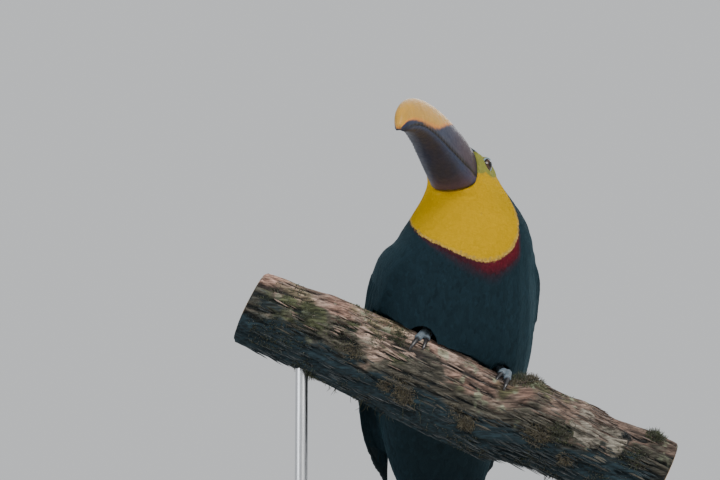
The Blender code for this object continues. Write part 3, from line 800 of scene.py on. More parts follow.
class TOUCAN_OT_skin(bpy.types.Operator):
    """Make the one skin under the feathers, with the folded face and the eyelids"""

    bl_idname = "toucan.skin"
    bl_label = "Skin"

    def execute(self, context):
        stump = bird_direction(-math.sin(TAIL_LEAN), 0.0, -math.cos(TAIL_LEAN))
        where = body_place(TAIL_TOP[0] - 0.9, 0.0, TAIL_TOP[1] - 7.0)
        solids = (*FLESH, "eye_left", "eye_right", "tail")
        skin = merged_copy("skin", solids, (Vector(where), Vector(stump)), [chin_wedge()])
        voxel_remesh(skin, SKIN_VOXEL, 5)
        points, edges = coords_of(skin), edges_of(skin)
        normals = unit(relaxed(normals_of(skin), edges, 6, 0.3))
        marks = regions(points)
        down_wing = wing_share(points, marks)[0]
        on_wing = down_wing >= 0
        # shallower under the wings' small coverts, deeper under their quills
        depth = coat_depth(marks) + on_wing * np.interp(down_wing, (0.36, 0.50), (-0.0013, 0.0006))
        depth = relaxed(depth[:, None], edges, 3, 0.3)
        from_eye = from_eyes(*bird_coords(points, 1.0), 0.2)
        depth += (ORBIT_DEPTH * np.exp(-((from_eye / 0.95) ** 2.5)))[:, None]
        points = points - normals * depth
        # the groove in front of the folded wings is filled out
        edge = relaxed(on_wing[:, None].astype(float), edges, 10, 0.1)
        in_front = ramp(112 - marks["angle"], 0, 16) * ramp(marks["u"], -1.0, 1.0)
        edge = 4 * edge * (1 - edge) * in_front[:, None]
        set_coords(skin, points + (relaxed(points, edges, 40, 0.1) - points) * np.clip(edge * 1.3, 0, 1))
        dress(skin, skin_material())
        fold_face(skin)
        marks = regions(coords_of(skin))
        bare = context.scene.toucan_plumage.bare
        # coat colour a little darker on the skin: painted shade between the feathers
        paint(skin, "tint", blend(plumage(marks) * SKIN_UNDER_FEATHERS, bare, marks["bare"]))
        smooth = unit(relaxed(normals_of(skin), edges_of(skin), 20, 0.3))
        layer = skin.data.attributes.new("smooth_normal", "FLOAT_VECTOR", "POINT")
        layer.data.foreach_set("vector", smooth.ravel())
        add_object("coat_bed", skin.data.copy())
        join_lids(skin)
        finish(skin, "bare_skin", *FLESH)
        return {"FINISHED"}


class TOUCAN_OT_eyes(bpy.types.Operator):
    """Make both eyes: dark iris, black pupil and a clear rounded front"""

    bl_idname = "toucan.eyes"
    bl_label = "Eyes"

    # angle from the gaze in degrees at which each colour ends
    RINGS = ((21, (0.002, 0.002, 0.002)), (42, (0.050, 0.022, 0.010)), (181, (0.012, 0.010, 0.010)))

    def execute(self, context):
        s = Shader("eye", roughness=0.10, Coat_Weight=0.3, Coat_Roughness=0.02, Specular_IOR_Level=0.3)
        s.colour(s.tinted(s.between(s.noise(s.object_coords(), 1500.0), 0.7, 1.25)))
        rings, sides, radius = 40, 64, EYE_RADIUS * CM
        for side in SIDES:
            centre, gaze, ahead, up = eye_axes(side)
            verts, tints = [centre + gaze * (radius * 1.05)], [(0.002,) * 3]
            for i in range(1, rings):
                alpha = math.pi * i / rings
                front = 0.05 * max(0.0, math.cos(alpha * 1.6)) ** 2 if alpha < 1.0 else 0.0
                tint = next(rgb for limit, rgb in self.RINGS if math.degrees(alpha) < limit)
                for j in range(sides):
                    phi = 2 * math.pi * j / sides
                    d = gaze * math.cos(alpha) + (ahead * math.cos(phi) + up * math.sin(phi)) * math.sin(alpha)
                    verts.append(centre + d * (radius * (0.985 + front)))
                    tints.append(tint)
            verts.append(centre - gaze * (radius * 0.985))
            tints.append((0.01,) * 3)
            turn = [(j, (j + 1) % sides) for j in range(sides)]
            last = 1 + (rings - 2) * sides
            faces = [(0, 1 + j, 1 + k) for j, k in turn]
            starts = range(1, last, sides)
            faces += [(a + j, a + sides + j, a + sides + k, a + k) for a in starts for j, k in turn]
            faces += [(last + j, len(verts) - 1, last + k) for j, k in turn]
            eye = outward(place_mesh("eyeball_" + side, verts, faces, s.material))
            paint(eye, "tint", tints)
            finish(eye, "eye", "eye_" + side)
        return {"FINISHED"}


# ---- bill ----
BILL_RIM = (0.006, 0.005, 0.006)
TEETH_PITCH = 0.62


def bill_shape(upper, shares, angles):
    """Points of one half of the bill with its share of the length and of the height."""
    table = np.array(BILL_SECTIONS)
    slopes = np.gradient(table[:, 1:], table[:, 0], axis=0)
    k = np.clip(np.searchsorted(table[:, 0], shares, side="right") - 1, 0, len(table) - 2)
    h = table[k + 1, 0] - table[k, 0]
    t = ((shares - table[k, 0]) / h)[:, None]
    h = h[:, None]
    rows = (
        (2 * t**3 - 3 * t**2 + 1) * table[k, 1:] + (t**3 - 2 * t**2 + t) * h * slopes[k]
        + (3 * t**2 - 2 * t**3) * table[k + 1, 1:] + (t**3 - t**2) * h * slopes[k + 1]
    )
    culmen, jaw, half = (rows[:, i][:, None] for i in range(3))
    power = 0.80 if upper else 1.0
    share = (shares * (1.0 if upper else JAW_REACH))[:, None]
    slope = BILL_DROOP * BILL_DROOP_POWER * share ** (BILL_DROOP_POWER - 1) / BILL_LENGTH
    sag = GAPE_SAG * np.sin(math.pi * share)
    middle = (SEAM if upper else -SEAM) - BILL_DROOP * share**BILL_DROOP_POWER - sag
    out = np.sign(np.cos(angles)) * np.abs(np.cos(angles)) ** power * half
    lift = np.sin(angles) ** power
    rise = lift * (sag + (culmen if upper else -jaw))
    points = bill_place(share * BILL_LENGTH + rise * slope, out, middle + rise)
    return points, np.broadcast_to(share, rise.shape), np.broadcast_to(lift, rise.shape)


def pale_border(share):
    """The angle over the gape line, in degrees, above which the upper half is pale."""
    return np.interp(
        share, (0, 0.1, 0.25, 0.35, 0.43, 0.49, 0.56, 0.62, 0.70, 0.78, 0.86, 0.93, 1.0),
        (81, 76, 64, 46, 33, 24, 14, 8, 4, 5, 9, 15, 22),
    )


def chin_edge(angle):
    """How far the chin's feathers reach along the lower half, at an angle in degrees under the gape line."""
    return np.interp(np.minimum(angle, 180 - angle), (18, 30, 50, 70, 90), (0.0, 0.015, 0.042, 0.058, 0.064))


def bill_colours(upper, share, lift, angle, points, horn):
    """Tints of one half: its horn, the dark cutting edge, the black rim at its base and the chin's yellow at
    half brightness, as painted shade under the chin's feathers.
    """
    wave = 0.030 * grain(points, 90.0, 11) + 0.018 * grain(points, 320.0, 12)
    slate, maroon = np.array(horn.slate), np.array(horn.maroon)
    if upper:
        dark = blend(maroon, slate, ramp(share, 0.12, 0.52))
        gap = (np.minimum(angle, 180 - angle) - pale_border(share)) / 90.0 + wave * 0.6
        pale = blend(np.array(horn.yellow) * 0.96, horn.yellow, ramp(grain(points, 60.0, 13), -0.5, 0.5))
        rgb = blend(blend(dark, horn.orange, ramp(gap, -0.045, 0.0)), pale, ramp(gap, 0.0, 0.06))
    else:
        dark = blend(maroon * 1.5 + slate * 0.6, slate * 0.85, ramp(share, 0.03, 0.24))
        rgb = blend(dark, slate * 1.3, ramp(lift, 0.10, 0.25) * (1 - ramp(lift, 0.45, 0.75)) * 0.45)
    rgb = blend(rgb, horn.gape, 1 - ramp(lift, 0.03, 0.15 if upper else 0.12))
    start = share - (0.0 if upper else chin_edge(angle)) + wave * 0.12
    rgb = blend(rgb, BILL_RIM, 1 - ramp(start, 0.008, 0.020))
    # the chin's yellow at half brightness: painted shade under its feathers
    chin = np.array(bpy.context.scene.toucan_plumage.yellow) * 0.5
    return rgb if upper else blend(rgb, chin, 1 - ramp(start, -0.012, -0.004))


def horn_material(name, roughness, coat):
    """Satin horn: lines along its map, clouds, and gloss that changes a little from place to place."""
    s = Shader(name, roughness=roughness, Coat_Weight=coat, Coat_Roughness=0.35, Specular_IOR_Level=0.3,
               Subsurface_Weight=0.06, Subsurface_Scale=0.003)
    where = s.object_coords()
    lines = s.noise(s.stretched(s.map_coords("grain"), (6.0, 60.0, 1.0)), 1.0, 4.0, 0.6)
    tone = s.tinted(s.between(s.noise(where, 140.0, 4.0), 0.82, 1.10))
    s.colour(s.times(tone, s.ramp(lines, ((0.35, 0.75), (0.65, 1.15))), 0.35))
    s.rough(s.between(s.noise(where, 300.0), roughness - 0.08, roughness + 0.12))
    s.bump(lines, 0.35, 0.0004)
    return s.material


def map_points(obj, name, places):
    """A UV map that gives each corner its vertex's place."""
    loops = rows_of(obj.data.loops, "vertex_index", 1, np.int32).ravel()
    obj.data.uv_layers.new(name=name).data.foreach_set("uv", places[loops].ravel())


class TOUCAN_OT_bill(bpy.types.Operator):
    """Make both halves of the bill, with cutting edges, growth lines and the base rim"""

    bl_idname = "toucan.bill"
    bl_label = "Bill"

    def execute(self, context):
        rings, sides = 170, 57
        shares = 1 - (1 - np.linspace(0.0, 1.0, rings)) ** 1.25
        angles = np.linspace(0.0, math.pi, sides)[None, :]
        for name, upper, slot in (("bill_upper", True, "yellow_horn"), ("bill_lower", False, "dark_horn")):
            points, share, lift = bill_shape(upper, shares, angles)
            away = unit(points - points.mean(axis=1, keepdims=True), 1e-9)
            teeth = np.sin(share * BILL_LENGTH * 2 * math.pi / TEETH_PITCH + grain(points, 60, 21) * 1.5)
            teeth = teeth * (1 - ramp(lift, 0.0, 0.16)) * ramp(share, 0.10, 0.2) * (1 - ramp(share, 0.93, 0.99))
            rim = 0.0006 * (1 - ramp(share, 0.004, 0.022))
            rim = rim - 0.0004 * ramp(share, 0.018, 0.03) * (1 - ramp(share, 0.03, 0.08))
            swell = grain(points, 70.0, 22) * 0.00022 + grain(points, 200.0, 23) * 0.00008
            groove = np.exp(-(((lift - 0.22) / 0.05) ** 2))
            groove = groove * ramp(share, 0.02, 0.1) * (1 - ramp(share, 0.7, 0.9))
            swell = (swell - 0.00028 * groove) * ramp(share, 0.0, 0.03) * (1 - ramp(share, 0.95, 1.0))
            points = points + away * (rim + swell + teeth * 0.00022)[..., None]
            degrees = np.broadcast_to(np.degrees(angles), share.shape)
            if not upper:
                under_chin = 1 - ramp(share - chin_edge(degrees), -0.006, 0.004)
                points = points - away * (0.0015 * under_chin)[..., None]
            rgb = bill_colours(upper, share, lift, degrees, points, context.scene.toucan_horn)
            material = horn_material(name, 0.46, 0.08)
            half = place_mesh(name + "_horn", points.reshape(-1, 3), tube_faces(rings, sides), material)
            turn = np.broadcast_to(np.linspace(0, 1, sides), share.shape)
            map_points(half, "grain", np.stack([share.ravel(), turn.ravel()], axis=1))
            paint(half, "tint", rgb.reshape(-1, 3))
            finish(outward(half), slot, name)
        return {"FINISHED"}


# ---- coat ----
def vane_template(name, outline, ridge):
    """A thin closed feather: a flat underside and a crowned upper side that share one frayed outline."""
    points = [Vector(p) for p in (*outline, *ridge)]
    n = len(outline)
    edges = [(i, (i + 1) % n) for i in range(n)]
    top = delaunay_2d_cdt(points, edges, [], 1, 1e-6)
    bottom = delaunay_2d_cdt(points[:n], edges, [], 1, 1e-6)
    verts = [(p.x, p.y, 0.0 if i < n else 1.0) for i, p in enumerate(points)]
    faces = [tuple(top[3][i][0] for i in face) for face in top[2]]
    faces += [tuple(bottom[3][i][0] for i in reversed(face)) for face in bottom[2]]
    vane = outward(place_mesh(name, verts, faces, None))
    layer = vane.data.attributes.new("local", "FLOAT_VECTOR", "POINT")
    layer.data.foreach_set("vector", np.array(verts).ravel())
    bpy.context.scene.collection.objects.unlink(vane)
    return vane


# points up one side, points of the frayed end, how far those are shaken, and points of the ridge
VANES = {
    "contour": (
        ((-0.28, 0.12), (-0.47, 0.36), (-0.50, 0.60)),
        ((-0.43, 0.86), (-0.30, 0.84), (-0.17, 0.97), (-0.02, 0.88), (0.13, 1.00), (0.25, 0.86), (0.38, 0.88)),
        0.03, ((0.0, 0.16), (0.0, 0.45), (-0.02, 0.68)),
    ),
    "tuft": (
        ((-0.36, 0.32),),
        ((-0.43, 0.80), (-0.31, 0.78), (-0.20, 0.94), (-0.08, 0.83), (0.04, 1.0), (0.15, 0.82), (0.27, 0.93),
         (0.36, 0.77), (0.44, 0.78)),
        0.03, ((0.0, 0.22), (0.0, 0.48)),
    ),
    "covert": (
        ((-0.30, 0.10), (-0.48, 0.34), (-0.50, 0.66)),
        ((-0.40, 0.86), (-0.22, 0.95), (-0.10, 0.93), (0.02, 1.0), (0.16, 0.94), (0.30, 0.93), (0.41, 0.84)),
        0.025, ((0.0, 0.16), (0.0, 0.45), (0.0, 0.75)),
    ),
}
# how soon each kind of feather lifts off the skin: below 1 near its root, above 1 near its tip
VANE_CURVE = {"contour": 0.55, "tuft": 1.2, "covert": 0.55}


def vane_shapes():
    """Three feathers of each kind, each frayed in its own way."""
    rng = np.random.default_rng(7)
    shapes = {kind: [] for kind in VANES}
    for k in range(3):
        for kind, (sides, tips, amount, ridge) in VANES.items():
            frayed = [(x + rng.uniform(-amount, amount), y + rng.uniform(-amount, amount)) for x, y in tips]
            outline = [(0.0, 0.0), *sides, *frayed, *[(-x, y) for x, y in reversed(sides)]]
            shapes[kind].append(vane_template(f"{kind}_{k}", outline, ridge))
    return shapes


def named(tree, name, kind="FLOAT_VECTOR"):
    node = add_node(tree, "GeometryNodeInputNamedAttribute", data_type=kind)
    node.inputs["Name"].default_value = name
    return next(o for o in node.outputs if o.enabled and o.name == "Attribute")


def growth_tree(name, *sockets):
    """A new geometry node tree and its inputs: each has a name, a kind and perhaps a default."""
    tree = bpy.data.node_groups.new(name, "GeometryNodeTree")
    for in_out in ("INPUT", "OUTPUT"):
        tree.interface.new_socket("Geometry", in_out=in_out, socket_type="NodeSocketGeometry")
    for key, kind, *default in sockets:
        socket = tree.interface.new_socket(key, in_out="INPUT", socket_type="NodeSocket" + kind)
        if default:
            socket.default_value = default[0]
    return tree, {o.name: o for o in tree.nodes.new("NodeGroupInput").outputs}


def finish_tree(tree, geometry, material):
    """Ends a tree in its material and its output."""
    done = add_node(tree, "GeometryNodeSetMaterial", {"Geometry": geometry, "Material": material})
    add_node(tree, "NodeGroupOutput", {0: done.outputs[0]})
    return tree


def grown(name, tree, given, points, tint, fields):
    """A small shape on each point, set there by a tree, as one plain mesh."""
    mesh = bpy.data.meshes.new(name)
    mesh.from_pydata([tuple(p) for p in points], [], [])
    for key, values in fields.items():
        kind, field = ("INT", "value") if np.ndim(values) == 1 else ("FLOAT_VECTOR", "vector")
        mesh.attributes.new(key, kind, "POINT").data.foreach_set(field, np.asarray(values).ravel())
    mesh.attributes.new("tint", "FLOAT_COLOR", "POINT").data.foreach_set("color", opaque(tint).ravel())
    growth = add_object(name, mesh)
    modifier = growth.modifiers.new("grow", "NODES")
    modifier.node_group = tree
    for item in tree.interface.items_tree:
        if item.item_type == "SOCKET" and item.in_out == "INPUT" and item.name in given:
            modifier[item.identifier] = given[item.name]
    return apply_modifiers(growth)


def coat_tree():
    """Geometry nodes that set a feather on each root and lay it along the skin."""
    tree, given = growth_tree(
        "lay_feathers", ("Skin", "Object"), ("Feather A", "Object"), ("Feather B", "Object"),
        ("Feather C", "Object"), ("Root depth", "Float", 0.0004), ("Patch size", "Float", 0.003),
        ("Curve", "Float", 0.55), ("Finish", "Material"),
    )

    def maths(operation, a, b):
        return add_node(tree, "ShaderNodeMath", {0: a, 1: b}, operation=operation).outputs[0]

    def vectors(operation, inputs):
        return add_node(tree, "ShaderNodeVectorMath", inputs, operation=operation).outputs[0]

    shapes = add_node(tree, "GeometryNodeJoinGeometry")
    for key in ("Feather C", "Feather B", "Feather A"):
        info = add_node(tree, "GeometryNodeObjectInfo", {"Object": given[key], "As Instance": True})
        tree.links.new(info.outputs["Geometry"], shapes.inputs[0])
    place = add_node(
        tree, "GeometryNodeInstanceOnPoints",
        {"Points": given["Geometry"], "Instance": shapes.outputs[0], "Pick Instance": True,
         "Instance Index": named(tree, "kind", "INT"), "Rotation": named(tree, "turn"),
         "Scale": named(tree, "size")},
    )
    real = add_node(tree, "GeometryNodeRealizeInstances", {"Geometry": place.outputs[0]})
    skin = add_node(tree, "GeometryNodeObjectInfo", {"Object": given["Skin"]})
    position = add_node(tree, "GeometryNodeInputPosition").outputs[0]

    def nearest(value):
        inputs = {"Mesh": skin.outputs["Geometry"], "Value": value, "Sample Position": position}
        node = add_node(tree, "GeometryNodeSampleNearestSurface", inputs, data_type="FLOAT_VECTOR")
        return node.outputs["Value"]

    local = add_node(tree, "ShaderNodeSeparateXYZ", {0: named(tree, "local")}).outputs
    size = add_node(tree, "ShaderNodeSeparateXYZ", {0: named(tree, "thick")}).outputs
    height = maths("MULTIPLY", maths("POWER", local[1], given["Curve"]), size[0])
    height = maths("ADD", height, maths("MULTIPLY", local[2], size[1]))
    roll = maths("MULTIPLY", maths("MULTIPLY", local[0], local[1]), size[2])
    height = maths("SUBTRACT", maths("ADD", height, roll), given["Root depth"])
    off = vectors("SCALE", {0: nearest(named(tree, "smooth_normal")), "Scale": height})
    total = vectors("ADD", {0: nearest(position), 1: off})
    moved = add_node(tree, "GeometryNodeSetPosition", {"Geometry": real.outputs[0], "Position": total})

    def store(geometry, name, vector):
        inputs = {"Geometry": geometry, "Name": name}
        node = add_node(tree, "GeometryNodeStoreNamedAttribute", inputs, data_type="FLOAT2", domain="CORNER")
        tree.links.new(vector, next(i for i in node.inputs if i.enabled and i.name == "Value"))
        return node.outputs[0]

    flat = add_node(tree, "ShaderNodeCombineXYZ", {0: maths("ADD", local[0], 0.5), 1: local[1]}).outputs[0]
    patch = vectors("SCALE", {0: flat, "Scale": given["Patch size"]})
    at_root = vectors("ADD", {0: named(tree, "root_uv"), 1: patch})
    done = store(store(moved.outputs[0], "OFBake", at_root), "vane", flat)
    return finish_tree(tree, done, given["Finish"])


def tree_of(points):
    tree = KDTree(len(points))
    for i, p in enumerate(points):
        tree.insert(p, i)
    tree.balance()
    return tree


def scatter(points, faces, spacing, rng):
    """Random roots on triangles, at least spacing apart: their places and triangle numbers."""
    a, b, c = (points[faces[:, i]] for i in range(3))
    area = np.linalg.norm(np.cross(b - a, c - a), axis=1) / 2
    weight = np.where(spacing > 0, area / np.maximum(spacing, 1e-5) ** 2, 0.0)
    count = int(weight.sum() * 2.6)
    pick = rng.choice(len(faces), count, p=weight / weight.sum())
    r1, r2 = np.sqrt(rng.random(count)), rng.random(count)
    places = a[pick] * (1 - r1)[:, None] + b[pick] * (r1 * (1 - r2))[:, None] + c[pick] * (r1 * r2)[:, None]
    tree = tree_of(places)
    free = np.ones(count, bool)
    kept = []
    reach = spacing[pick] * 0.82
    for i in range(count):
        if free[i]:
            kept.append(i)
            for _, j, _ in tree.find_range(places[i], reach[i]):
                free[j] = False
    kept = np.array(kept)
    return places[kept], pick[kept]


def lie_of_coat(points, normals, m):
    """The direction in which the feathers lie: away from the bill on the head, down and back on the body."""
    down = bird_direction(-0.30, 0.0, -0.95)
    face = bill_place(1.2, 0.0, 0.6)
    away = unit(points - face)
    head_back = bird_direction(-0.75, 0.0, -0.66, 1.0)
    far = ramp(np.linalg.norm(points - face, axis=1), 0.03, 0.075)[:, None]
    throat = (1 - ramp(m["angle"], 20.0, 60.0)) * (1 - ramp(m["u"], 16.0, 17.5))
    on_head = (ramp(m["u"], 15.0, 17.2) * (1 - 0.85 * throat))[:, None]
    d = down * (1 - on_head) + (away * (1 - far * 0.6) + head_back * far * 0.6) * on_head
    chin = (ramp(m["f"], 3.3, 4.0) * ramp(m["u"], 14.6, 15.2) * (1 - ramp(m["u"], 16.6, 17.2)) * 0.8)[:, None]
    d = d * (1 - chin) - bird_direction(math.cos(BILL_PITCH), 0.0, math.sin(BILL_PITCH), 1.0) * chin
    return unit(d - normals * np.sum(d * normals, axis=1, keepdims=True), 1e-9)


def euler_of(x, y, z):
    """XYZ Euler angles of frames given by their columns."""
    lean = np.arcsin(np.clip(-x[:, 2], -1, 1))
    return np.stack([np.arctan2(y[:, 2], z[:, 2]), lean, np.arctan2(x[:, 1], x[:, 0])], axis=1)


def skin_unwrap(m):
    """Places on an unwrap of the skin: the angle round the spine by the height along it."""
    u = np.arctan2(m["l"], m["f"] - spine_forward(m["u"])) / (2 * math.pi) + 0.5
    return np.stack([u * 0.98 + 0.01, (m["u"] + 13.0) / 35.0, np.zeros_like(u)], axis=1)


def drop_torn(coat):
    """Take out the feathers that reach across a gap, from a wing's tip to the body."""
    layers = (coat.data.attributes[name].data for name in ("local", "size", "root_uv"))
    local, size, root = (rows_of(layer, "vector") for layer in layers)
    a, b = edges_of(coat).T
    points = coords_of(coat)
    flat = np.linalg.norm(((local[a] - local[b]) * size[a])[:, :2], axis=1)
    torn = np.linalg.norm(points[a] - points[b], axis=1) > 1.4 * flat + 0.0014
    key = np.round(root[:, 0] * 1e6) * 2e6 + np.round(root[:, 1] * 1e6)
    gone = np.isin(key, key[a[torn]])
    if gone.any():
        with edited(coat.data) as bm:
            bmesh.ops.delete(bm, geom=[v for v, out in zip(bm.verts, gone) if out], context="VERTS")


def lay_coat(name, slot, bed, tree, shapes, curve, part, rng):
    """One piece of coat: a feather on each root."""
    if len(part["root"]) == 0:
        raise RuntimeError("no feathers for " + name)
    fields = {
        "turn": euler_of(np.cross(part["lie"], part["normal"]), part["lie"], part["normal"]),
        "size": part["size"], "thick": part["thick"], "root_uv": skin_unwrap(part),
        "kind": rng.integers(0, 3, len(part["root"])),
    }
    given = {"Skin": bed, "Curve": curve, "Finish": feather_material(slot)}
    given.update({"Feather " + letter: shape for letter, shape in zip("ABC", shapes)})
    coat = grown(name, tree, given, part["root"], part["tint"], fields)
    drop_torn(coat)
    shade_smooth(coat, False)
    for key in (*fields, "local"):
        coat.data.attributes.remove(coat.data.attributes[key])
    coat.data.color_attributes.active_color = coat.data.color_attributes["tint"]
    finish(coat, slot)


def wing_share(points, m):
    """How far down a folded wing and how far across it points lie; the share is -1 off the wings."""
    share, over = np.full(len(points), -1.0), np.zeros(len(points))
    s, c = np.meshgrid(np.linspace(0.01, 0.99, 90), np.linspace(-1.0, 1.0, 60), indexing="ij")
    for side, sign in SIDES.items():
        tree = tree_of(wing_place(side, s, c, 0.0).reshape(-1, 3))
        for i in np.nonzero((m["l"] * sign > 1.0) & (m["u"] < 14.5))[0]:
            _, k, gap = tree.find(points[i])
            if gap < 0.0052:
                share[i], over[i] = s.ravel()[k], c.ravel()[k]
    return share, over


class TOUCAN_OT_coat(bpy.types.Operator):
    """Lay the body feathers over the skin, piece by piece, with the bird's markings"""

    bl_idname = "toucan.coat"
    bl_label = "Body feathers"

    HEAD_FROM = 13.5

    def lengths(self, marks, wing, bib, bent):
        """Feather lengths in millimetres, from the feet to the head."""
        u = marks["u"]
        long = np.interp(u, (-8, -4, 2, 8, 12, 15, 17, 19.5), (25, 21, 17, 14.0, 10.0, 6.6, 5.0, 4.4))
        long = long * (1 - bib) + np.interp(u, (9, 14, 17), (6.0, 5.2, 4.2)) * bib
        by_face = ramp(bare_face(marks["f"] * 0.92 + 0.12, marks["l"], (u - 17.8) * 0.86 + 17.8), 0.0, 0.6)
        at_rim = np.exp(-((marks["above"] / 0.4) ** 2)) * (marks["angle"] < 90)
        long = long * (1 - 0.42 * by_face) * (1 - 0.34 * at_rim)
        long = long * (1 - wing) + np.interp(u, (-8, 0, 6, 11, 14), (26, 22, 16, 10, 7)) * wing
        return long * (1 - 0.62 * ramp(bent, 0.16, 0.42) * ramp(14.0 - u, 0.0, 1.5))

    def spacings(self, points, marks, length, down_wing, over_wing, density):
        """Metres between feathers; 0 on bare skin, at the grip on the branch and under the quills."""
        spacing = np.interp(length, (3, 4.5, 6, 8, 12, 20, 28), (0.64, 0.74, 0.90, 1.22, 1.72, 2.6, 3.8))
        spacing = spacing * 1e-3 / math.sqrt(density) * 1.0
        along, angle, radius = perch_coords(points)
        on_perch = (radius < perch_bark_radius(along, angle) + 0.001) & (marks["u"] < 6)
        under_quills = (down_wing > 0.46) & (over_wing > -0.66)
        return np.where((marks["bare"] > 0.5) | on_perch | under_quills, 0.0, spacing)

    def grow(self, bed, tones, rng):
        """Every feather's root, frame, size and tint, the markings at its tip, and whether it is a wing's."""
        bed.data.calc_loop_triangles()
        faces = np.array([t.vertices[:] for t in bed.data.loop_triangles])
        points, edges = coords_of(bed), edges_of(bed)
        smooth = rows_of(bed.data.attributes["smooth_normal"].data, "vector")
        marks = regions(points)
        down_wing, over_wing = wing_share(points, marks)
        wing = relaxed((down_wing >= 0)[:, None].astype(float), edges, 2, 0.5)[:, 0]
        bib = np.clip(marks["yellow"] + marks["cream"] + marks["red"] + ramp(marks["above"], -2.6, -1.6), 0, 1)
        bib = bib * ramp(marks["u"], 8.0, 9.5) * ramp(100 - marks["angle"], 0, 8)
        broad = relaxed(smooth, edges, 60, 0.1)
        bent = np.arccos(np.clip(np.sum(smooth * broad, axis=1) / np.linalg.norm(broad, axis=1), -1, 1))
        length = self.lengths(marks, wing, bib, bent)
        spacing = self.spacings(points, marks, length, down_wing, over_wing, tones.density)
        roots, pick = scatter(points, faces, spacing[faces].min(axis=1), rng)
        corners = faces[pick]
        normals = unit(smooth[corners].mean(axis=1))
        m = regions(roots)
        lie = lie_of_coat(roots, normals, m)
        turn = rng.normal(0.0, math.radians(9.0), len(roots))[:, None]
        lie = lie * np.cos(turn) + np.cross(normals, lie) * np.sin(turn)
        long = length[corners].mean(axis=1) * rng.uniform(0.85, 1.18, len(roots))
        winged = wing[corners].mean(axis=1) > 0.5
        wide = long * np.where(winged, 0.50, np.interp(long, (4, 8, 14, 24), (0.48, 0.50, 0.52, 0.50)))
        scale = np.interp(long, (3, 6, 12, 24), (0.36, 0.50, 0.70, 1.0)) * np.where(winged, 0.75, 1.0)
        raised = np.where(bib[corners].mean(axis=1) > 0.5, 0.8, 0.58)
        # the tip's height, the crown's height and the roll about the shaft
        thick = np.stack([
            tones.lift * scale * raised * rng.uniform(0.92, 1.09, len(roots)),
            np.interp(long, (3, 24), (0.00014, 0.00040)),
            rng.normal(0.0, 0.00025, len(roots)) * scale,
        ], axis=1)
        seen = regions(roots + lie * (long * 0.62e-3)[:, None])
        tint = plumage(seen)
        shade = rng.normal(1.0, np.where(tint.mean(axis=1) < 0.05, 0.12, 0.035), len(roots)).clip(0.7, 1.3)
        feathers = {
            **m, "root": roots, "normal": normals, "lie": lie, "thick": thick, "tint": tint * shade[:, None],
            "size": np.stack([wide, long, np.full_like(long, 0.3)], axis=1) * 1e-3,
        }
        return feathers, seen, winged

    def pieces(self, m, seen, winged):
        """Each piece's name, which feathers it has, their kind and their slot."""
        pale = (seen["yellow"] > 0.5) | (seen["cream"] > 0.5)
        crimson = (seen["red"] > 0.45) & ~pale
        vent = seen["vent"] > 0.5
        rump = (seen["rump"] > 0.5) & ~vent & ~winged
        black = ~(pale | crimson | vent | rump | winged)
        body = black & (m["u"] <= self.HEAD_FROM)
        front, left = m["f"] > spine_forward(m["u"]), m["l"] > 0
        return (
            ("coat_bib", pale & ~winged, "tuft", "yellow_plumage"),
            ("coat_band", crimson & ~winged, "tuft", "red_plumage"),
            ("coat_vent", vent & ~winged, "contour", "red_plumage"),
            ("coat_rump", rump, "contour", "cream_plumage"),
            ("coat_head", black & (m["u"] > self.HEAD_FROM), "tuft", "black_plumage"),
            ("coat_breast_left", body & front & left, "contour", "black_plumage"),
            ("coat_breast_right", body & front & ~left, "contour", "black_plumage"),
            ("coat_back", body & ~front, "contour", "black_plumage"),
            ("coat_wing_left", winged & left, "covert", "black_plumage"),
            ("coat_wing_right", winged & ~left, "covert", "black_plumage"),
        )

    def execute(self, context):
        bed, rng = bpy.data.objects["coat_bed"], np.random.default_rng(2024)
        feathers, seen, winged = self.grow(bed, context.scene.toucan_plumage, rng)
        shapes, tree = vane_shapes(), coat_tree()
        for name, chosen, shape, slot in self.pieces(feathers, seen, winged):
            part = {key: value[chosen] for key, value in feathers.items()}
            lay_coat(name, slot, bed, tree, shapes[shape], VANE_CURVE[shape], part, rng)
        return {"FINISHED"}


# ---- long feathers ----
def section_place(section, angle, inset=0.0):
    """Straight-bird coordinates on a section, at an angle from its belly."""
    belly_f, belly_u, back_f, back_u, half = (np.asarray(section)[..., i] for i in range(5))
    power = 2.0 / BODY_SQUARENESS
    out = np.sign(np.sin(angle)) * np.abs(np.sin(angle)) ** power * (half - inset)
    depth = np.hypot(back_f - belly_f, back_u - belly_u)
    swing = np.sign(np.cos(angle)) * np.abs(np.cos(angle)) ** power * (1 - 2 * inset / depth)
    to_back = (1 - swing) / 2
    return belly_f + (back_f - belly_f) * to_back, out, belly_u + (back_u - belly_u) * to_back


def smooth_rows(rows, shares):
    """Catmull-Rom through a table's rows at shares of the way down it."""
    table = np.array(rows, float)
    last = len(table) - 1
    slopes = np.gradient(table, axis=0)
    at = np.clip(np.asarray(shares, float), 0.0, 1.0) * last
    i = np.minimum(at.astype(int), last - 1)
    t = (at - i)[..., None]
    return (
        table[i] * (2 * t**3 - 3 * t**2 + 1) + slopes[i] * (t**3 - 2 * t**2 + t)
        + table[i + 1] * (3 * t**2 - 2 * t**3) + slopes[i + 1] * (t**3 - t**2)
    )


def wing_place(side, share, across, lift):
    """A place on the folded wing: share of its length, -1 (breast edge) to 1 (back edge), lift off it in cm."""
    rows = smooth_rows(WING_SECTIONS, share)
    bend = np.clip(share / SHOULDER_ROUND, 0.0, 1.0)
    tip = np.clip((1.0 - share) / TIP_ROUND, 0.0, 1.0)
    full = np.maximum(0.12, np.sqrt(1 - (1 - bend) ** 2) * (1 - (1 - tip) ** 2) ** 0.6)
    low, high = rows[..., 5], rows[..., 6]
    angle = np.radians((low + high) / 2 + (high - low) / 2 * full * across)
    f, out, u = section_place(rows[..., :5], angle, -lift)
    return body_place(f, out * SIDES[side], u)


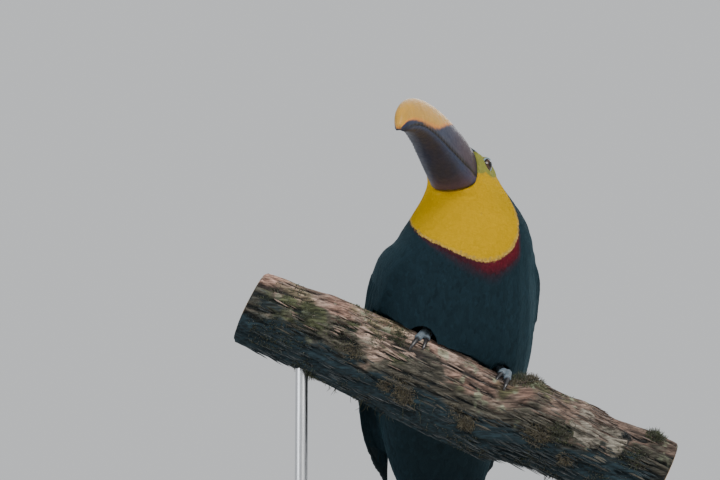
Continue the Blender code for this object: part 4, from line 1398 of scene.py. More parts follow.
class Blades:
    """Long feathers gathered into one mesh: vertices, faces, tints and maps; outside is where they face."""

    def __init__(self, outside):
        self.outside = outside
        self.verts, self.faces, self.tints, self.maps = [], [], [], []

    def add(self, place, width, stations, lanes, thick, tint, rng, notch=0.0):
        """One feather; place(t, x) gives the lower face's points for 0..1 along it and -1..1 across it."""
        t = 1 - (1 - np.linspace(0.0, 1.0, stations)) ** 1.25
        tt, xx = np.meshgrid(t, np.linspace(-1.0, 1.0, lanes), indexing="ij")
        edge = 1 - 0.05 * np.abs(np.sin(tt * rng.uniform(26, 34) + rng.uniform(0, 6))) * notch * np.abs(xx) ** 6
        low = place(tt, width(tt) * xx * edge)
        normal = unit(np.cross(np.gradient(low, axis=0), np.gradient(low, axis=1)), 1e-12)
        if np.sum(normal * self.outside) < 0:
            normal = -normal
        rachis = np.exp(-((xx / 0.07) ** 2)) * (1 - tt * 0.7)
        camber = 1 - xx**2
        high = low + normal * (thick * (0.25 + 0.75 * camber) * (1 - 0.5 * tt) + 0.0005 * rachis)[..., None]
        start = sum(len(v) for v in self.verts)
        n = stations * lanes
        self.verts += [low.reshape(-1, 3), high.reshape(-1, 3)]
        grid = np.arange(n).reshape(stations, lanes)
        for i in range(stations - 1):
            for j in range(lanes - 1):
                a, b, c, d = grid[i, j], grid[i, j + 1], grid[i + 1, j + 1], grid[i + 1, j]
                self.faces.append((start + a, start + b, start + c, start + d))
                self.faces.append(tuple(start + n + k for k in (d, c, b, a)))
        rim = list(grid[0, :]) + list(grid[1:, -1]) + list(grid[-1, -2::-1]) + list(grid[-2:0:-1, 0])
        for p, q in zip(rim, rim[1:] + rim[:1]):
            self.faces.append((start + q, start + p, start + n + p, start + n + q))
        shade = 1 + 0.25 * (np.abs(xx) ** 3) - 0.15 * rachis
        self.tints.append(np.tile((np.asarray(tint) * shade[..., None]).reshape(-1, 3), (2, 1)))
        self.maps.append(np.tile(np.stack([(xx + 1) / 2, tt], -1).reshape(-1, 2), (2, 1)))

    def build(self, name, material, slot, *nodes):
        """The mesh; the map OFBake has a cell for each feather."""
        obj = outward(place_mesh(name, np.concatenate(self.verts), self.faces, material))
        paint(obj, "tint", np.concatenate(self.tints))
        flat = np.concatenate(self.maps)
        side = math.ceil(math.sqrt(len(self.maps)))
        cell = np.concatenate([np.full(len(v), i) for i, v in enumerate(self.maps)])
        corner = np.stack([cell % side, cell // side], axis=1)
        map_points(obj, "OFBake", (corner + 0.06 + flat * 0.88) / side)
        map_points(obj, "vane", flat)
        return finish(obj, slot, *nodes)


def quill_width(root, body, tip_round):
    """Half width along a long feather: narrow at the root, full from a fifth, rounded at the tip."""
    def width(t):
        tip = np.clip((t - tip_round) / (1 - tip_round), 0.0, 1.0)
        return (root + (body - root) * ramp(t, 0.0, 0.35)) * np.sqrt(np.clip(1 - tip**2.2, 0.0004, 1.0))
    return width


class TOUCAN_OT_wing_quills(bpy.types.Operator):
    """Make the folded wings' long feathers: primaries, secondaries, tertials and the greater coverts"""

    bl_idname = "toucan.wing_quills"
    bl_label = "Wing quills"

    # count; root (share, across) of first and last; tip of first and last; half width; lift of both; bow
    ROWS = (
        (8, (0.40, -0.56), (0.42, 0.10), (0.80, -0.90), (0.985, 0.05), 0.10, (-0.30, -0.25), 0.0),
        (9, (0.36, -0.60), (0.34, 0.62), (0.64, -0.84), (0.90, 0.60), 0.12, (-0.24, -0.17), 0.0),
        (3, (0.32, 0.55), (0.30, 0.80), (0.76, 0.74), (0.66, 0.90), 0.13, (-0.16, -0.14), 0.0),
        (12, (0.32, -0.58), (0.30, 0.80), (0.54, -0.76), (0.58, 0.86), 0.09, (-0.21, -0.13), 0.05),
    )

    def execute(self, context):
        black = np.array(context.scene.toucan_plumage.black)
        material = feather_material("black_plumage")
        for side, sign in SIDES.items():
            rng = np.random.default_rng(31)
            blades = Blades(bird_direction(-0.2, sign, 0.0))
            for count, first_root, last_root, first_tip, last_tip, half, lifts, bow in self.ROWS:
                for w in np.arange(count) / (count - 1):
                    root = blend(np.array(first_root), np.array(last_root), w)
                    tip = blend(np.array(first_tip), np.array(last_tip), w) + rng.normal(0, 0.006, 2)
                    tip[0] += bow * math.sin(math.pi * w)
                    lift = lifts[0] * (1 - w) + lifts[1] * w

                    def place(t, x, root=root, tip=tip, lift=lift, side=side):
                        across = np.clip(root[1] + (tip[1] - root[1]) * t + x, -1.02, 1.02)
                        return wing_place(side, root[0] + (tip[0] - root[0]) * t, across, lift - 0.05 * (1 - t))

                    tone = black * rng.uniform(0.8, 1.25)
                    blades.add(place, quill_width(half * 0.6, half, 0.78), 18, 9, 0.0005, tone, rng, 1.0)
            blades.build("quills_" + side, material, "black_plumage")
        return {"FINISHED"}


class TOUCAN_OT_tail(bpy.types.Operator):
    """Make the ten long tail feathers, closed and round at the end"""

    bl_idname = "toucan.tail"
    bl_label = "Tail feathers"

    def execute(self, context):
        rng = np.random.default_rng(5)
        black = np.array(context.scene.toucan_plumage.black)
        blades = Blades(bird_direction(-1.0, 0.0, 0.0))
        for order in (5, 4, 3, 2, 1):
            for sign in (-1, 1):
                centre = sign * (order - 0.5)
                reach = TAIL_LENGTH * (1.0 - 0.0075 * (order - 1) ** 1.7) + rng.uniform(-0.12, 0.05)
                layer = 0.42 - 0.19 * (order - 1) + (0.03 if sign > 0 else 0.0)

                def place(t, x, centre=centre, reach=reach, layer=layer):
                    side = centre * (0.30 + 0.20 * t) + x
                    half_thick = 0.55 * (1 - t) ** 1.3 + 0.15
                    half = TAIL_ROOT_HALF + (TAIL_END_HALF - TAIL_ROOT_HALF) * t
                    arch = -TAIL_ARCH * (side / half) ** 2 * (0.5 + 0.5 * t)
                    off = arch + layer * 2 * half_thick
                    drop = reach * t
                    f = TAIL_TOP[0] - math.sin(TAIL_LEAN) * drop - math.cos(TAIL_LEAN) * off
                    u = TAIL_TOP[1] - math.cos(TAIL_LEAN) * drop + math.sin(TAIL_LEAN) * off
                    return body_place(f, side, u)

                tone = black * rng.uniform(0.85, 1.2)
                blades.add(place, quill_width(0.55, 1.02, 0.82), 30, 11, 0.0006, tone, rng, 0.8)
        blades.build("tail_feathers", feather_material("black_plumage"), "black_plumage", "tail")
        return {"FINISHED"}


# ---- feet ----
FOOT_VOXEL = 0.00055
TOE_SCUTE = 0.0019
SHANK_SCUTE = 0.0026
TOES = ("inner_front", "outer_front", "inner_back", "outer_back")


class TOUCAN_OT_feet(bpy.types.Operator):
    """Make the scaled feet and shanks and the curved claws"""

    bl_idname = "toucan.feet"
    bl_label = "Feet and claws"

    def execute(self, context):
        horn = context.scene.toucan_horn
        s = Shader("foot_skin", roughness=0.52, Specular_IOR_Level=0.45, Subsurface_Weight=0.05,
                   Subsurface_Scale=0.002)
        where = s.object_coords()
        s.colour(s.tinted(s.between(s.noise(where, 500.0), 0.8, 1.15)))
        s.bump(s.noise(where, 2200.0), 0.35, 0.0003)
        k = Shader("claw_horn", horn.claw, 0.28, Coat_Weight=0.5, Coat_Roughness=0.15)
        streak = k.noise(k.object_coords(), 700.0)
        dark, light = (tuple(c * share for c in horn.claw) for share in (0.7, 1.5))
        k.colour(k.ramp(streak, ((0.3, dark), (0.75, light))))
        k.bump(streak, 0.2, 0.0003)
        for side in SIDES:
            foot = merged_copy("foot_" + side + "_skin", ("foot_" + side, "leg_" + side))
            voxel_remesh(foot, FOOT_VOXEL, 3)
            points, normals = coords_of(foot), normals_of(foot)
            _, angle, radius = perch_coords(points)
            raised = radius - PERCH_RADIUS
            on_shank = ramp(raised, 0.0085, 0.0105) > 0.5
            beat = np.where(on_shank, raised / SHANK_SCUTE, angle * PERCH_RADIUS / TOE_SCUTE)
            groove = 1 - np.abs(np.sin(math.pi * (beat + 0.25 * grain(points, 400.0, 41)))) ** 0.45
            top = ramp(raised, 0.0018, 0.0040)
            pads = grain(points, 900.0, 42) * (1 - top)
            lift = -0.00042 * groove * top + 0.00013 * pads + 0.0002 * (1 - groove) * top
            set_coords(foot, points + normals * lift[:, None])
            # darker in the grooves between the scutes and low on the toes next to the branch: painted shade;
            # the grain is tone that differs at random
            shade = (1 - 0.55 * groove * top) * (0.72 + 0.38 * top) + 0.08 * grain(points, 250.0, 43)
            dress(foot, s.material)
            paint(foot, "tint", np.array(horn.foot) * shade[:, None])
            finish(foot, "foot_skin", "foot_" + side, "leg_" + side)
            names = [f"claw_{side}_{toe}" for toe in TOES]
            claws = merged_copy("claws_" + side, names)
            dress(claws, k.material)
            round_off = claws.modifiers.new("smooth", "SUBSURF")
            round_off.levels = round_off.render_levels = 2
            shade_smooth(apply_modifiers(claws), True)
            finish(claws, "claw_horn", *names)
        return {"FINISHED"}


# ---- perch and stand ----
def perch_bark_radius(along, angle):
    """The branch's radius with its swells, in metres: the same rule as the solid's."""
    return PERCH_RADIUS * (
        1 - PERCH_TAPER * along / PERCH_HALF_LENGTH + 0.030 * np.cos(2 * angle + 9 * along)
        + 0.022 * np.sin(3 * angle - 31 * along) + 0.016 * np.sin(5 * angle + 47 * along)
    ) + perch_bend(along)[1]


# place along the branch, how far from its top the painted light reaches, where the damp underside's painted
# shade starts, how bright the painted light is
LIGHT_EDGES = (
    (-0.176, 77, 92, 0.95), (-0.141, 77, 96, 1.0), (-0.106, 77, 100, 0.8), (-0.070, 98, 108, 1.0),
    (-0.035, 62, 118, 0.85), (0.0, 78, 108, 0.42), (0.035, 70, 104, 0.30), (0.070, 72, 112, 0.32),
    (0.106, 86, 102, 0.42), (0.141, 62, 84, 0.40), (0.176, 40, 96, 0.26),
)


def light_edges(along):
    """How far the painted light on the top reaches, where the damp underside's painted shade starts and how
    bright the painted light is, at places along.
    """
    place, *columns = np.array(LIGHT_EDGES).T
    return [np.interp(along, place, column) for column in columns]


def bark_relief(along, angle):
    """Height of the bark's ridges and cracks in metres, its strips' tone, how cracked it is, and its lumps."""
    ring = np.stack([np.cos(angle), np.sin(angle), along * 6.0], -1)
    twist = angle + along * 1.6 + 0.10 * grain(ring, 2.5, 57)

    def strips(across, length, seed):
        round_it = 1000 * PERCH_RADIUS / across
        place = [np.cos(twist) * round_it, np.sin(twist) * round_it, along * 1000 / length]
        return grain(np.stack(place, -1), 1.0, seed)

    broad, middle = strips(7.0, 46, 51), strips(3.4, 22, 52)
    narrow, hair = strips(1.9, 12, 53), strips(1.1, 5, 54)
    cracks = ramp(-(middle + 0.7 * narrow + 0.4 * broad), 0.20, 0.52)
    lumps = grain(ring, 1.6, 55)
    height = 0.0014 * broad + 0.0013 * middle + 0.0008 * narrow + 0.0003 * hair
    height = height - 0.0014 * cracks + 0.0010 * lumps
    tone = np.exp(0.30 * broad + 0.55 * middle + 0.60 * narrow + 0.5 * hair)
    return height, tone, cracks, lumps


# colour of the cut wood, how deep its rim turns in, and each drying crack's angle, start and end
CUT_WOOD = np.array((0.50, 0.33, 0.17))
CUT_RIM = (0.0, 0.0006, 0.0030)
CRACKS = ((0.9, 0.0, 0.97), (2.5, 0.35, 0.7), (4.4, 0.55, 0.98), (5.6, 0.2, 0.45))


def drying_crack(angle, inside):
    """How open the cracks are at an angle and a share of the way from the pith to the bark."""
    return sum(
        max(0.0, 1 - abs(math.sin((angle - at) / 2)) * 40 * inside)
        * ramp(inside, first, first + 0.2) * (1 - ramp(inside, last - 0.1, last))
        for at, first, last in CRACKS
    )


def bark_colours(points, along, angle, relief, tones):
    """Tints of the bark: painted light on the top, dimmer along the branch, sides darker as painted half-shade,
    a damp underside in painted shade, moss, lichen and one bare flake.
    """
    tone, cracks, lumps = relief
    bark, side_shade, shade, flake = map(np.array, (tones.bark, tones.side_shade, tones.shade, tones.flake))
    turn = np.degrees(np.abs(np.where(angle > math.pi, angle - 2 * math.pi, angle)))
    patches, spots = grain(points, 38.0, 58), grain(points, 120.0, 59)
    ragged = 16 * lumps + 14 * grain(points, 60.0, 63) + 16 * spots + 12 * np.log(tone)
    # painted light on the top, dimming along the branch, and painted shade on the damp underside, from
    # LIGHT_EDGES
    lit_to, damp_shade_from, level = light_edges(along)
    side = ramp(turn + ragged - lit_to, -12, 6)
    damp_shade = ramp(turn + 0.7 * ragged - damp_shade_from, -6, 8)
    warm = ramp(grain(points, 55.0, 64), -0.1, 0.7)
    level = level[..., None]
    rgb = blend(bark, bark * np.array((1.14, 0.92, 0.88)), warm * 0.7) * level
    # the sides darker: painted half-shade
    rgb = blend(rgb, side_shade * (0.4 + 0.6 * level), side)
    green = ramp(patches + 0.6 * spots + 0.15 * side, 0.22, 0.8) * (1 - damp_shade)
    rgb = blend(rgb, np.array(tones.moss) * 0.8, green * 0.6)
    # the damp underside in painted shade, where the strips' tone fades too
    rgb = blend(rgb, shade, damp_shade)
    plain = 0.75 * damp_shade[..., None]
    rgb = rgb * (tone[..., None] * (1 - plain) + plain)
    # the cracks darkened with the shade colour: painted shade in them
    rgb = blend(rgb, shade * 0.4, 0.8 * cracks * (1 - 0.6 * damp_shade))
    pale = grain(points, 130.0, 61) + 0.55 * grain(points, 330.0, 62) + 0.25 * np.log(tone)
    pale = ramp(pale, 0.62, 0.86) * (1 - damp_shade)
    # the lichen darker on the sides: painted half-shade
    rgb = blend(rgb, np.array(tones.lichen) * (1 - 0.5 * side)[..., None], pale * 0.7)
    # one bare flake, on the near side only
    patch = ((along - 0.115) / 0.022) ** 4 + ((turn - 66) / 27) ** 4 + (angle > math.pi) * 9
    patch = patch + 0.9 * lumps + 0.9 * spots
    rgb = blend(rgb, flake * (0.6 + 0.4 * tone)[..., None], (1 - ramp(patch, 0.75, 0.95)) * 0.85)
    # a dark rim at the flake's far end: painted shadow under its edge
    lip = ramp(patch, 0.8, 0.95) * (1 - ramp(patch, 1.0, 1.4)) * ramp(along, 0.120, 0.135)
    return np.clip(blend(rgb, shade * 0.4, lip), 0, 1)


def bark_material():
    s = Shader("bark", roughness=0.9, Specular_IOR_Level=0.25)
    where = s.object_coords()
    fibres = s.noise(s.stretched(where, (70.0, 620.0, 620.0), (0.0, -PERCH_SLOPE, 0.0)), 1.0, 5.0, 0.68)
    grit = s.noise(where, 1400.0, 4.0, 0.7)
    tone = s.tinted(s.ramp(fibres, ((0.36, 0.28), (0.50, 0.95), (0.64, 1.7))))
    s.colour(s.times(tone, s.between(grit, 0.75, 1.2)))
    s.bump(s.math("ADD", fibres, grit), 0.7, 0.0007)
    return s.material


class TOUCAN_OT_perch(bpy.types.Operator):
    """Make the cut length of branch: fibrous bark with moss and lichen, and its two sawn ends"""

    bl_idname = "toucan.perch"
    bl_label = "Perch"

    def execute(self, context):
        tones = context.scene.toucan_stand
        rows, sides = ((420, 228))
        along = np.linspace(-PERCH_HALF_LENGTH, PERCH_HALF_LENGTH, rows)[:, None]
        along, angle = np.broadcast_arrays(along, turns(sides)[None, :])
        height, *relief = bark_relief(along, angle)
        end = ramp(PERCH_HALF_LENGTH - np.abs(along), 0.0, 0.0015)
        radius = perch_bark_radius(along, angle) + height * (0.3 + 0.7 * end) - 0.0012 * (1 - end)
        points = perch_place(along, angle, radius)
        shape = place_mesh("bark", points.reshape(-1, 3), tube_faces(rows, sides), bark_material())
        paint(shape, "tint", bark_colours(points, along, angle, relief, tones).reshape(-1, 3))
        finish(outward(shape), "bark", "perch")
        self.cut_ends(tones)
        return {"FINISHED"}

    def cut_ends(self, tones):
        """Two sawn faces with growth rings, a pith and drying cracks, flush with the bark's ends."""
        s = Shader("cut_wood", roughness=0.7, Specular_IOR_Level=0.3)
        saw = s.noise(s.stretched(s.object_coords(), (100.0, 2400.0, 160.0), (0.0, -PERCH_SLOPE, 0.0)), 1.0)
        s.colour(s.tinted(s.between(saw, 0.82, 1.12)))
        s.bump(saw, 0.5, 0.0003)
        verts, faces, tints = [], [], []
        rows, sides = 26, 96
        for sign in (-1, 1):
            start = len(verts)
            for i in range(rows + len(CUT_RIM)):
                inside = min(i / rows, 1.0)
                depth = CUT_RIM[max(i - rows, 0)]
                for a in (2 * math.pi * j / sides for j in range(sides)):
                    ring = (perch_bark_radius(sign * PERCH_HALF_LENGTH, a) - 0.0034) * inside
                    crack = drying_crack(a, inside)
                    lift = 0.0004 - depth - 0.0009 * crack * (i < rows)
                    verts.append(perch_place(sign * (PERCH_HALF_LENGTH + lift), a, ring))
                    wobble = 0.12 * math.sin(3 * a) + 0.05 * math.sin(7 * a)
                    beat = math.sin(2 * math.pi * (ring / tones.ring_width + wobble))
                    heart = 1 - 0.28 * max(0.0, 1 - ring / 0.012)
                    # heartwood and rings are the wood's own colour; the darker drying cracks are painted shade
                    # in them
                    tints.append(CUT_WOOD * heart * (1 + 0.16 * beat) * (1 - 0.75 * crack))
            faces += [tuple(start + k for k in f) for f in tube_faces(rows + len(CUT_RIM), sides, False)]
            faces.append(tuple(range(len(verts) - sides, len(verts))))
        ends = place_mesh("cut_ends", verts, faces, s.material)
        paint(ends, "tint", tints)
        with edited(ends.data) as bm:
            bmesh.ops.remove_doubles(bm, verts=bm.verts, dist=1e-6)
            bmesh.ops.recalc_face_normals(bm, faces=bm.faces)
        finish(ends, "cut_wood")


def sprinkle_tree():
    """Geometry nodes that set a small shape on each point and turn the result into one mesh."""
    tree, given = growth_tree("sprinkle", ("Shape", "Object"), ("Size", "Float", 1.0), ("Finish", "Material"))
    shape = add_node(tree, "GeometryNodeObjectInfo", {"Object": given["Shape"], "As Instance": True})
    inputs = {0: named(tree, "size"), "Scale": given["Size"]}
    scaled = add_node(tree, "ShaderNodeVectorMath", inputs, operation="SCALE")
    place = add_node(
        tree, "GeometryNodeInstanceOnPoints",
        {"Points": given["Geometry"], "Instance": shape.outputs["Geometry"],
         "Rotation": named(tree, "turn"), "Scale": scaled.outputs[0]},
    )
    real = add_node(tree, "GeometryNodeRealizeInstances", {"Geometry": place.outputs[0]})
    return finish_tree(tree, real.outputs[0], given["Finish"])


def strand_shape(name, sides, joints, bend, spindle=False):
    """A bent strand one unit long, closed at both ends: tapered to its tip, or to both ends."""
    verts = []
    for i in range(joints):
        t = i / (joints - 1)
        r = (0.5 * math.sin(math.pi * t) ** 0.6 if spindle else 0.5 * (1 - t) ** 0.7) + 0.04
        for j in range(sides):
            a = 2 * math.pi * j / sides + t * 1.5
            verts.append((r * math.cos(a) + bend * math.sin(t * 2.6), r * math.sin(a) + bend * 0.5 * t * t, t))
    strand = outward(place_mesh(name, verts, tube_faces(joints, sides), None))
    bpy.context.scene.collection.objects.unlink(strand)
    return strand


def sprinkle(name, tree, shape, tint, points, x, z, size):
    """One mesh of a small shape on each point, turned to the axes x and z."""
    s = Shader(name, roughness=0.85, Sheen_Weight=0.2, Specular_IOR_Level=0.2)
    s.colour(s.tinted(s.between(s.noise(s.object_coords(), 900.0, 2.0), 0.7, 1.2)))
    fields = {"turn": euler_of(x, np.cross(z, x), z), "size": size}
    growth = grown(name, tree, {"Shape": shape, "Finish": s.material}, points, tint, fields)
    shade_smooth(growth, True)
    finish(growth, "bark")


class TOUCAN_OT_moss(bpy.types.Operator):
    """Set loose bark fibres, short moss, clumps of dry roots and hanging strands on the branch"""

    bl_idname = "toucan.moss"
    bl_label = "Bark fibres, moss and debris"

    REACH = PERCH_HALF_LENGTH - 0.004
    # millimetres along the branch and degrees from its top, spread, strands, longest strand, tone
    CLUMPS = (
        (-31, 124, 5.5, 340, 6.5, "debris"), (-50, 124, 4.5, 180, 4.5, "debris"),
        (-40, 118, 9.0, 300, 4.0, "debris"), (20, 120, 5.0, 340, 7.0, "debris"),
        (10, 114, 7.0, 160, 3.5, "debris"), (72, 108, 7.5, 460, 7.0, "debris"),
        (-84, 100, 6.0, 260, 4.5, "debris"), (-100, 88, 12.0, 300, 3.0, "moss"),
        (-56, 52, 6.0, 300, 3.2, "moss"), (-70, 70, 8.0, 220, 3.0, "moss"), (43, 6, 6.0, 520, 9.0, "moss"),
        (50, 14, 5.0, 380, 8.0, "debris"), (38, 28, 5.0, 260, 5.0, "debris"),
        (56, 2, 4.0, 200, 5.0, "moss"), (88, 92, 9.0, 420, 4.0, "moss"), (135, 48, 3.0, 160, 4.0, "shade"),
        (156, 22, 6.0, 420, 8.0, "moss"), (146, 80, 10.0, 300, 4.0, "moss"),
        (100, 128, 5.0, 180, 9.0, "debris"), (30, 215, 12.0, 260, 5.0, "moss"),
        (-60, 235, 12.0, 260, 5.0, "moss"), (90, 260, 12.0, 240, 4.0, "moss"),
        (-110, 180, 10.0, 200, 5.0, "moss"),
    )

    def on_bark(self, along, angle, sunk):
        height = bark_relief(along, angle)[0]
        points = perch_place(along, angle, perch_bark_radius(along, angle) + height - sunk)
        return points, PERCH_UP * np.cos(angle)[:, None] + PERCH_FRONT * np.sin(angle)[:, None]

    def execute(self, context):
        rng, tree = np.random.default_rng(77), sprinkle_tree()
        self.fibres(context.scene.toucan_stand, rng, tree)
        self.tufts(context.scene.toucan_stand, rng, tree)
        self.clumps(context.scene.toucan_stand, rng, tree)
        return {"FINISHED"}

    def fibres(self, tones, rng, tree, count=5200):
        """Loose fibres along the bark, in its tones."""
        along = rng.uniform(-self.REACH, self.REACH - 0.012, count)
        angle = rng.uniform(-math.pi, math.pi, count)
        points, out = self.on_bark(along, angle, 0.0003)
        z = unit(PERCH_AXIS + rng.normal(0, 0.05, (count, 3)) + out * rng.uniform(-0.04, 0.01, (count, 1)))
        y = unit(out - z * np.sum(out * z, axis=1, keepdims=True))
        spans = ((0.0006, 0.0020), (0.0005, 0.0009), (0.004, 0.018))
        size = np.stack([rng.uniform(*span, count) for span in spans], 1)
        turn = np.degrees(np.abs(angle)) + 12 * rng.normal(0, 1, count)
        # the fibres take the bark's painted light on top, painted half-shade on the sides and painted shade
        # underneath
        lit_to, damp_shade_from, level = light_edges(along)
        tone = blend(np.array(tones.bark) * level[:, None], tones.side_shade, ramp(turn - lit_to, -10, 6))
        tone = tone * rng.uniform(0.35, 1.5, (count, 1))
        tone = blend(tone, tones.shade, ramp(turn - damp_shade_from, -4, 8))
        shape = strand_shape("fibre", 4, 5, 0.10, True)
        sprinkle("bark_fibres", tree, shape, tone, points, np.cross(y, z), z, size)

    def tufts(self, tones, rng, tree):
        """Short moss in patches, and strands that hang under the branch."""
        for name, count, shape, tone, hanging in (
            ("moss", 4200, strand_shape("moss_tuft", 3, 3, 0.25), tones.moss, False),
            ("hanging_lichen", 200, strand_shape("lichen_strand", 4, 8, 3.4), np.array(tones.moss) * 1.1, True),
        ):
            along = rng.uniform(-self.REACH, self.REACH, count * 8)
            angle = rng.uniform(-math.pi, math.pi, count * 8)
            points, out = self.on_bark(along, angle, 0.0004)
            facing = np.cos(angle)
            if hanging:
                keep = (facing < -0.35) & (grain(points, 30.0, 71) + 0.4 * grain(points, 120.0, 72) > 0.42)
            else:
                patch = grain(points, 38.0, 58) + 0.5 * grain(points, 110.0, 59)
                keep = patch + 0.3 * ramp(-facing, -0.3, 0.6) + rng.normal(0, 0.12, len(points)) > 0.62
            for side in SIDES:
                off_foot = np.abs(along - FOOT_ALONG[side] * CM) >= 0.016
                keep &= off_foot | (np.abs(angle - FOOT_ANGLE[side]) >= 1.5)
            chosen = np.nonzero(keep)[0][:count]
            if not len(chosen):
                raise RuntimeError("no place for " + name)
            points, out, found = points[chosen], out[chosen], len(chosen)
            if hanging:
                z = unit(np.array((0.0, 0.0, -1.0)) + rng.normal(0, 0.34, (found, 3)) + out * 0.3)
                thick, span = 0.0008, (0.003, 0.011)
            else:
                z = unit(out + rng.normal(0, 0.5, (found, 3)))
                thick, span = 0.0010, (0.0010, 0.0028)
            size = np.stack([np.full(found, thick)] * 2 + [rng.uniform(*span, found)], axis=1)
            x = unit(np.cross(z, rng.normal(0, 1, (found, 3))))
            # darker on the branch's underside: painted shade
            shade = 1 - 0.6 * ramp(-facing[chosen], -0.2, 0.3)
            tint = np.array(tone) * rng.uniform(0.35, 1.1, (found, 1)) * shade[:, None]
            sprinkle(name, tree, shape, tint, points, x, z, size)

    def clumps(self, tones, rng, tree):
        """Dry roots and thicker moss caught on the bark."""
        places, ways, sizes, tints = [], [], [], []
        for middle, degrees, spread, count, longest, tone in self.CLUMPS:
            reach = self.REACH * 1000
            along = np.clip(middle + spread * rng.normal(0, 0.7, count), -reach, reach) * 0.001
            angle = np.radians(degrees) + spread * rng.normal(0, 0.6, count) * 0.001 / PERCH_RADIUS
            points, out = self.on_bark(along, angle, 0.0004)
            off = (angle - np.radians(degrees)) * PERCH_RADIUS * 1000
            away = np.hypot(along * 1000 - middle, off) / spread
            long = longest * np.exp(-(away**2) * 0.5) * rng.uniform(0.5, 1.1, count) + 0.8
            places.append(points)
            ways.append(unit(out + rng.normal(0, 0.75, (count, 3))))
            sizes.append(np.stack([rng.uniform(0.0004, 0.0008, count)] * 2 + [long * 0.001], axis=1))
            tints.append(np.array(getattr(tones, tone)) * (0.22 + 1.0 * rng.random((count, 1)) ** 2))
        z = np.concatenate(ways)
        x = unit(np.cross(z, rng.normal(0, 1, z.shape)))
        places, sizes, tints = (np.concatenate(rows) for rows in (places, sizes, tints))
        sprinkle("root_clumps", tree, strand_shape("root", 3, 5, 0.9), tints, places, x, z, sizes)


class TOUCAN_OT_stand(bpy.types.Operator):
    """Finish the display stand: an oiled board and two satin steel rods"""

    bl_idname = "toucan.stand"
    bl_label = "Stand"

    ROD_SIDES = 48
    # the collar's profile: out from the rod and up from the board
    COLLAR = (
        (0.0, 0.0002), (0.0045, 0.0002), (0.0050, 0.0008), (0.0050, 0.0036), (0.0042, 0.0046), (0.0008, 0.0050),
        (0.0, 0.0056),
    )

    def execute(self, context):
        steel = Shader("stand_steel", (0.62, 0.63, 0.65), 0.28, Metallic=1.0)
        brushed = steel.noise(steel.stretched(steel.object_coords(), (2500.0, 2500.0, 60.0)), 1.0, 2.0)
        steel.rough(steel.between(brushed, 0.22, 0.36))
        steel.bump(brushed, 0.15, 0.0001)
        low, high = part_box("stand_base")
        self.board(low, high, self.wood(np.array(context.scene.toucan_stand.board)))
        for side in SIDES:
            self.rod(side, high.z, steel.material)
        return {"FINISHED"}

    def wood(self, tone):
        """Oiled wood with long growth lines and fine pores."""
        s = Shader("stand_board", roughness=0.5, Coat_Weight=0.25, Coat_Roughness=0.35)
        where = s.object_coords()
        along = s.stretched(where, (5.0, 70.0, 70.0))
        wave = {"Vector": along, "Scale": 0.55, "Distortion": 5.5, "Detail": 3.0, "Detail Scale": 0.9}
        rings = s.node("ShaderNodeTexWave", wave, bands_direction="Y").outputs["Fac"]
        pores = s.noise(s.stretched(where, (60.0, 1300.0, 1300.0)), 1.0, 3.0, 0.7)
        lines = s.ramp(rings, ((0.0, tuple(tone * 0.68)), (0.55, tuple(tone)), (1.0, tuple(tone * 1.12))))
        lines = s.times(lines, s.ramp(pores, ((0.32, 0.70), (0.55, 1.04))))
        s.colour(s.times(lines, s.between(s.noise(where, 9.0, 2.0), 0.88, 1.06)))
        s.rough(s.ramp(pores, ((0.3, 0.62), (0.6, 0.44))))
        s.bump(pores, 0.25, 0.0003)
        return s.material

    def board(self, low, high, material):
        """A board with round corners, a rounded rim and a small chamfer at its foot."""
        mesh = bpy.data.meshes.new("board")
        with edited(mesh) as bm:
            bmesh.ops.create_cube(bm, size=1.0)
            bmesh.ops.scale(bm, vec=high - low, verts=bm.verts)
            bmesh.ops.translate(bm, vec=(high + low) / 2, verts=bm.verts)
            for chosen, offset, segments in (
                (lambda a, b: abs(a.z - b.z) > 0.01, 0.035, 24),
                (lambda a, b: min(a.z, b.z) > high.z - 1e-6, 0.003, 6),
                (lambda a, b: max(a.z, b.z) < low.z + 1e-6, 0.0008, 2),
            ):
                edges = [e for e in bm.edges if chosen(*(v.co for v in e.verts))]
                bmesh.ops.bevel(bm, geom=edges, offset=offset, segments=segments, profile=0.5, affect="EDGES")
        mesh.materials.append(material)
        mesh.shade_smooth()
        mesh.set_sharp_from_angle(angle=math.radians(35))
        finish(add_object("stand_board_finish", mesh), "stand_board", "stand_base")

    def rod(self, side, board_top, material):
        """One rod with a small collar where it enters the board."""
        low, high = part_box("stand_rod_" + side)
        x, radius = (low.x + high.x) / 2, (high.x - low.x) / 2
        collar = [(radius + out, board_top + up) for out, up in self.COLLAR]
        profile = [(radius, low.z), *collar, (radius, high.z)]
        verts = [(x + r * math.cos(a), r * math.sin(a), z) for r, z in profile for a in turns(self.ROD_SIDES)]
        rod = outward(place_mesh("rod_" + side, verts, tube_faces(len(profile), self.ROD_SIDES), material))
        rod.data.set_sharp_from_angle(angle=math.radians(35))
        finish(rod, "stand_steel", "stand_rod_" + side)


# ---- stage ----
FLOOR_RADIUS = 1.6
FLOOR_DROP = 0.0004
# place, size, power and tone of each lamp, and where they all point
LAMPS = {
    "key": ((0.9, -1.5, 1.3), 1.2, 34.0, (1.0, 0.98, 0.94)),
    "fill": ((-1.5, -1.0, 0.8), 1.3, 12.0, (0.94, 0.97, 1.0)),
    "rim": ((0.3, 1.6, 1.6), 1.2, 12.0, (0.95, 0.98, 1.0)),
}
LIT = Vector((0.0, 0.0, 0.38))
# what the camera looks at, from how far, how far up it looks, and its lens in millimetres
CAMERA_AIM = Vector((-0.072, 0.0, 0.397))
CAMERA_DISTANCE = 1.7
CAMERA_PITCH = math.radians(12.0)
CAMERA_LENS = 106.25


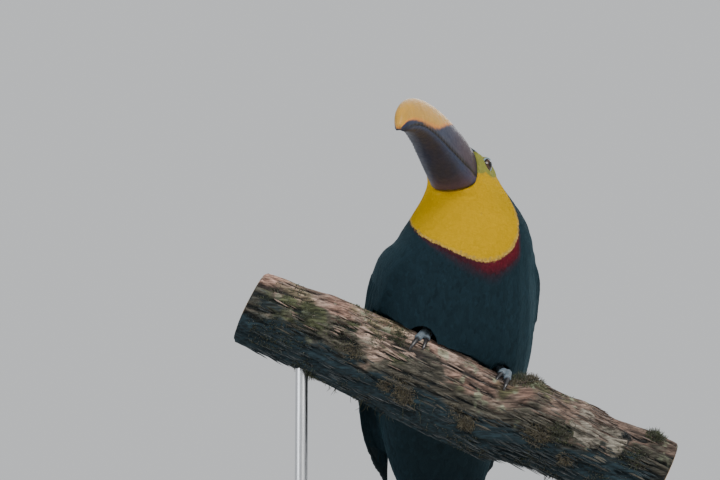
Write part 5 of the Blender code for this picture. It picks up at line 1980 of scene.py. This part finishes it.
class TOUCAN_OT_stage(bpy.types.Operator):
    """Set the pale floor, the soft studio light and the camera"""

    bl_idname = "toucan.stage"
    bl_label = "Floor, light and camera"

    def execute(self, context):
        disc = [(FLOOR_RADIUS * math.cos(a), FLOOR_RADIUS * math.sin(a), -FLOOR_DROP) for a in turns(96)]
        s = Shader("pale_floor", (0.72, 0.71, 0.69), 0.75)
        s.colour(s.between(s.noise(s.object_coords(), 9.0), (0.70, 0.69, 0.67), (0.74, 0.73, 0.71)))
        floor = place_mesh("floor", disc, [range(len(disc))], s.material)
        world = bpy.data.worlds.new("studio")
        context.scene.world = world
        world.use_nodes = True
        world.node_tree.nodes["Background"].inputs["Color"].default_value = (0.86, 0.88, 0.90, 1.0)
        world.node_tree.nodes["Background"].inputs["Strength"].default_value = 0.75
        for name, (place, size, power, tone) in LAMPS.items():
            light = bpy.data.lights.new(name, "AREA")
            light.shape = "DISK"
            light.size, light.energy, light.color = size, power, tone
            lamp = add_object(name, light)
            lamp.location = place
            lamp.rotation_euler = (LIT - Vector(place)).to_track_quat("-Z", "Y").to_euler()
        lens = bpy.data.cameras.new("camera")
        lens.sensor_width, lens.lens, lens.clip_start = 36.0, CAMERA_LENS, 0.01
        camera = add_object("camera", lens)
        ahead = Vector((0.0, math.cos(CAMERA_PITCH), math.sin(CAMERA_PITCH)))
        camera.location = CAMERA_AIM - ahead * CAMERA_DISTANCE
        camera.rotation_euler = ahead.to_track_quat("-Z", "Y").to_euler()
        context.scene.camera = camera
        return {"FINISHED"}


OPERATORS = (
    TOUCAN_OT_skin, TOUCAN_OT_eyes, TOUCAN_OT_bill, TOUCAN_OT_coat, TOUCAN_OT_wing_quills, TOUCAN_OT_tail,
    TOUCAN_OT_feet, TOUCAN_OT_perch, TOUCAN_OT_moss, TOUCAN_OT_stand, TOUCAN_OT_stage,
)


class TOUCAN_PT_panel(bpy.types.Panel):
    """Colours and sizes, and one button for each piece"""

    bl_idname = "TOUCAN_PT_panel"
    bl_label = "Toucan"
    bl_space_type = "VIEW_3D"
    bl_region_type = "UI"
    bl_category = "Toucan"

    def draw(self, context):
        for title, group in (
            ("Plumage", context.scene.toucan_plumage),
            ("Bill, feet and claws", context.scene.toucan_horn),
            ("Perch and stand", context.scene.toucan_stand),
        ):
            box = self.layout.box()
            box.label(text=title)
            for key in type(group).__annotations__:
                box.prop(group, key)
        for operator in OPERATORS:
            self.layout.operator(operator.bl_idname)


GROUPS = {"toucan_plumage": ToucanPlumage, "toucan_horn": ToucanHorn, "toucan_stand": ToucanStand}
CLASSES = (*GROUPS.values(), *OPERATORS, TOUCAN_PT_panel)


def register():
    for cls in CLASSES:
        bpy.utils.register_class(cls)
    for name, group in GROUPS.items():
        setattr(bpy.types.Scene, name, bpy.props.PointerProperty(type=group))


def unregister():
    for name in GROUPS:
        delattr(bpy.types.Scene, name)
    for cls in reversed(CLASSES):
        bpy.utils.unregister_class(cls)


def main():
    register()
    bpy.ops.toucan.skin()
    bpy.ops.toucan.eyes()
    bpy.ops.toucan.bill()
    bpy.ops.toucan.coat()
    bpy.ops.toucan.wing_quills()
    bpy.ops.toucan.tail()
    bpy.ops.toucan.feet()
    bpy.ops.toucan.perch()
    bpy.ops.toucan.moss()
    bpy.ops.toucan.stand()
    bpy.ops.toucan.stage()
    bed = bpy.data.objects.get("coat_bed")
    if bed:
        bpy.data.objects.remove(bed)


if __name__ == "__main__":
    main()
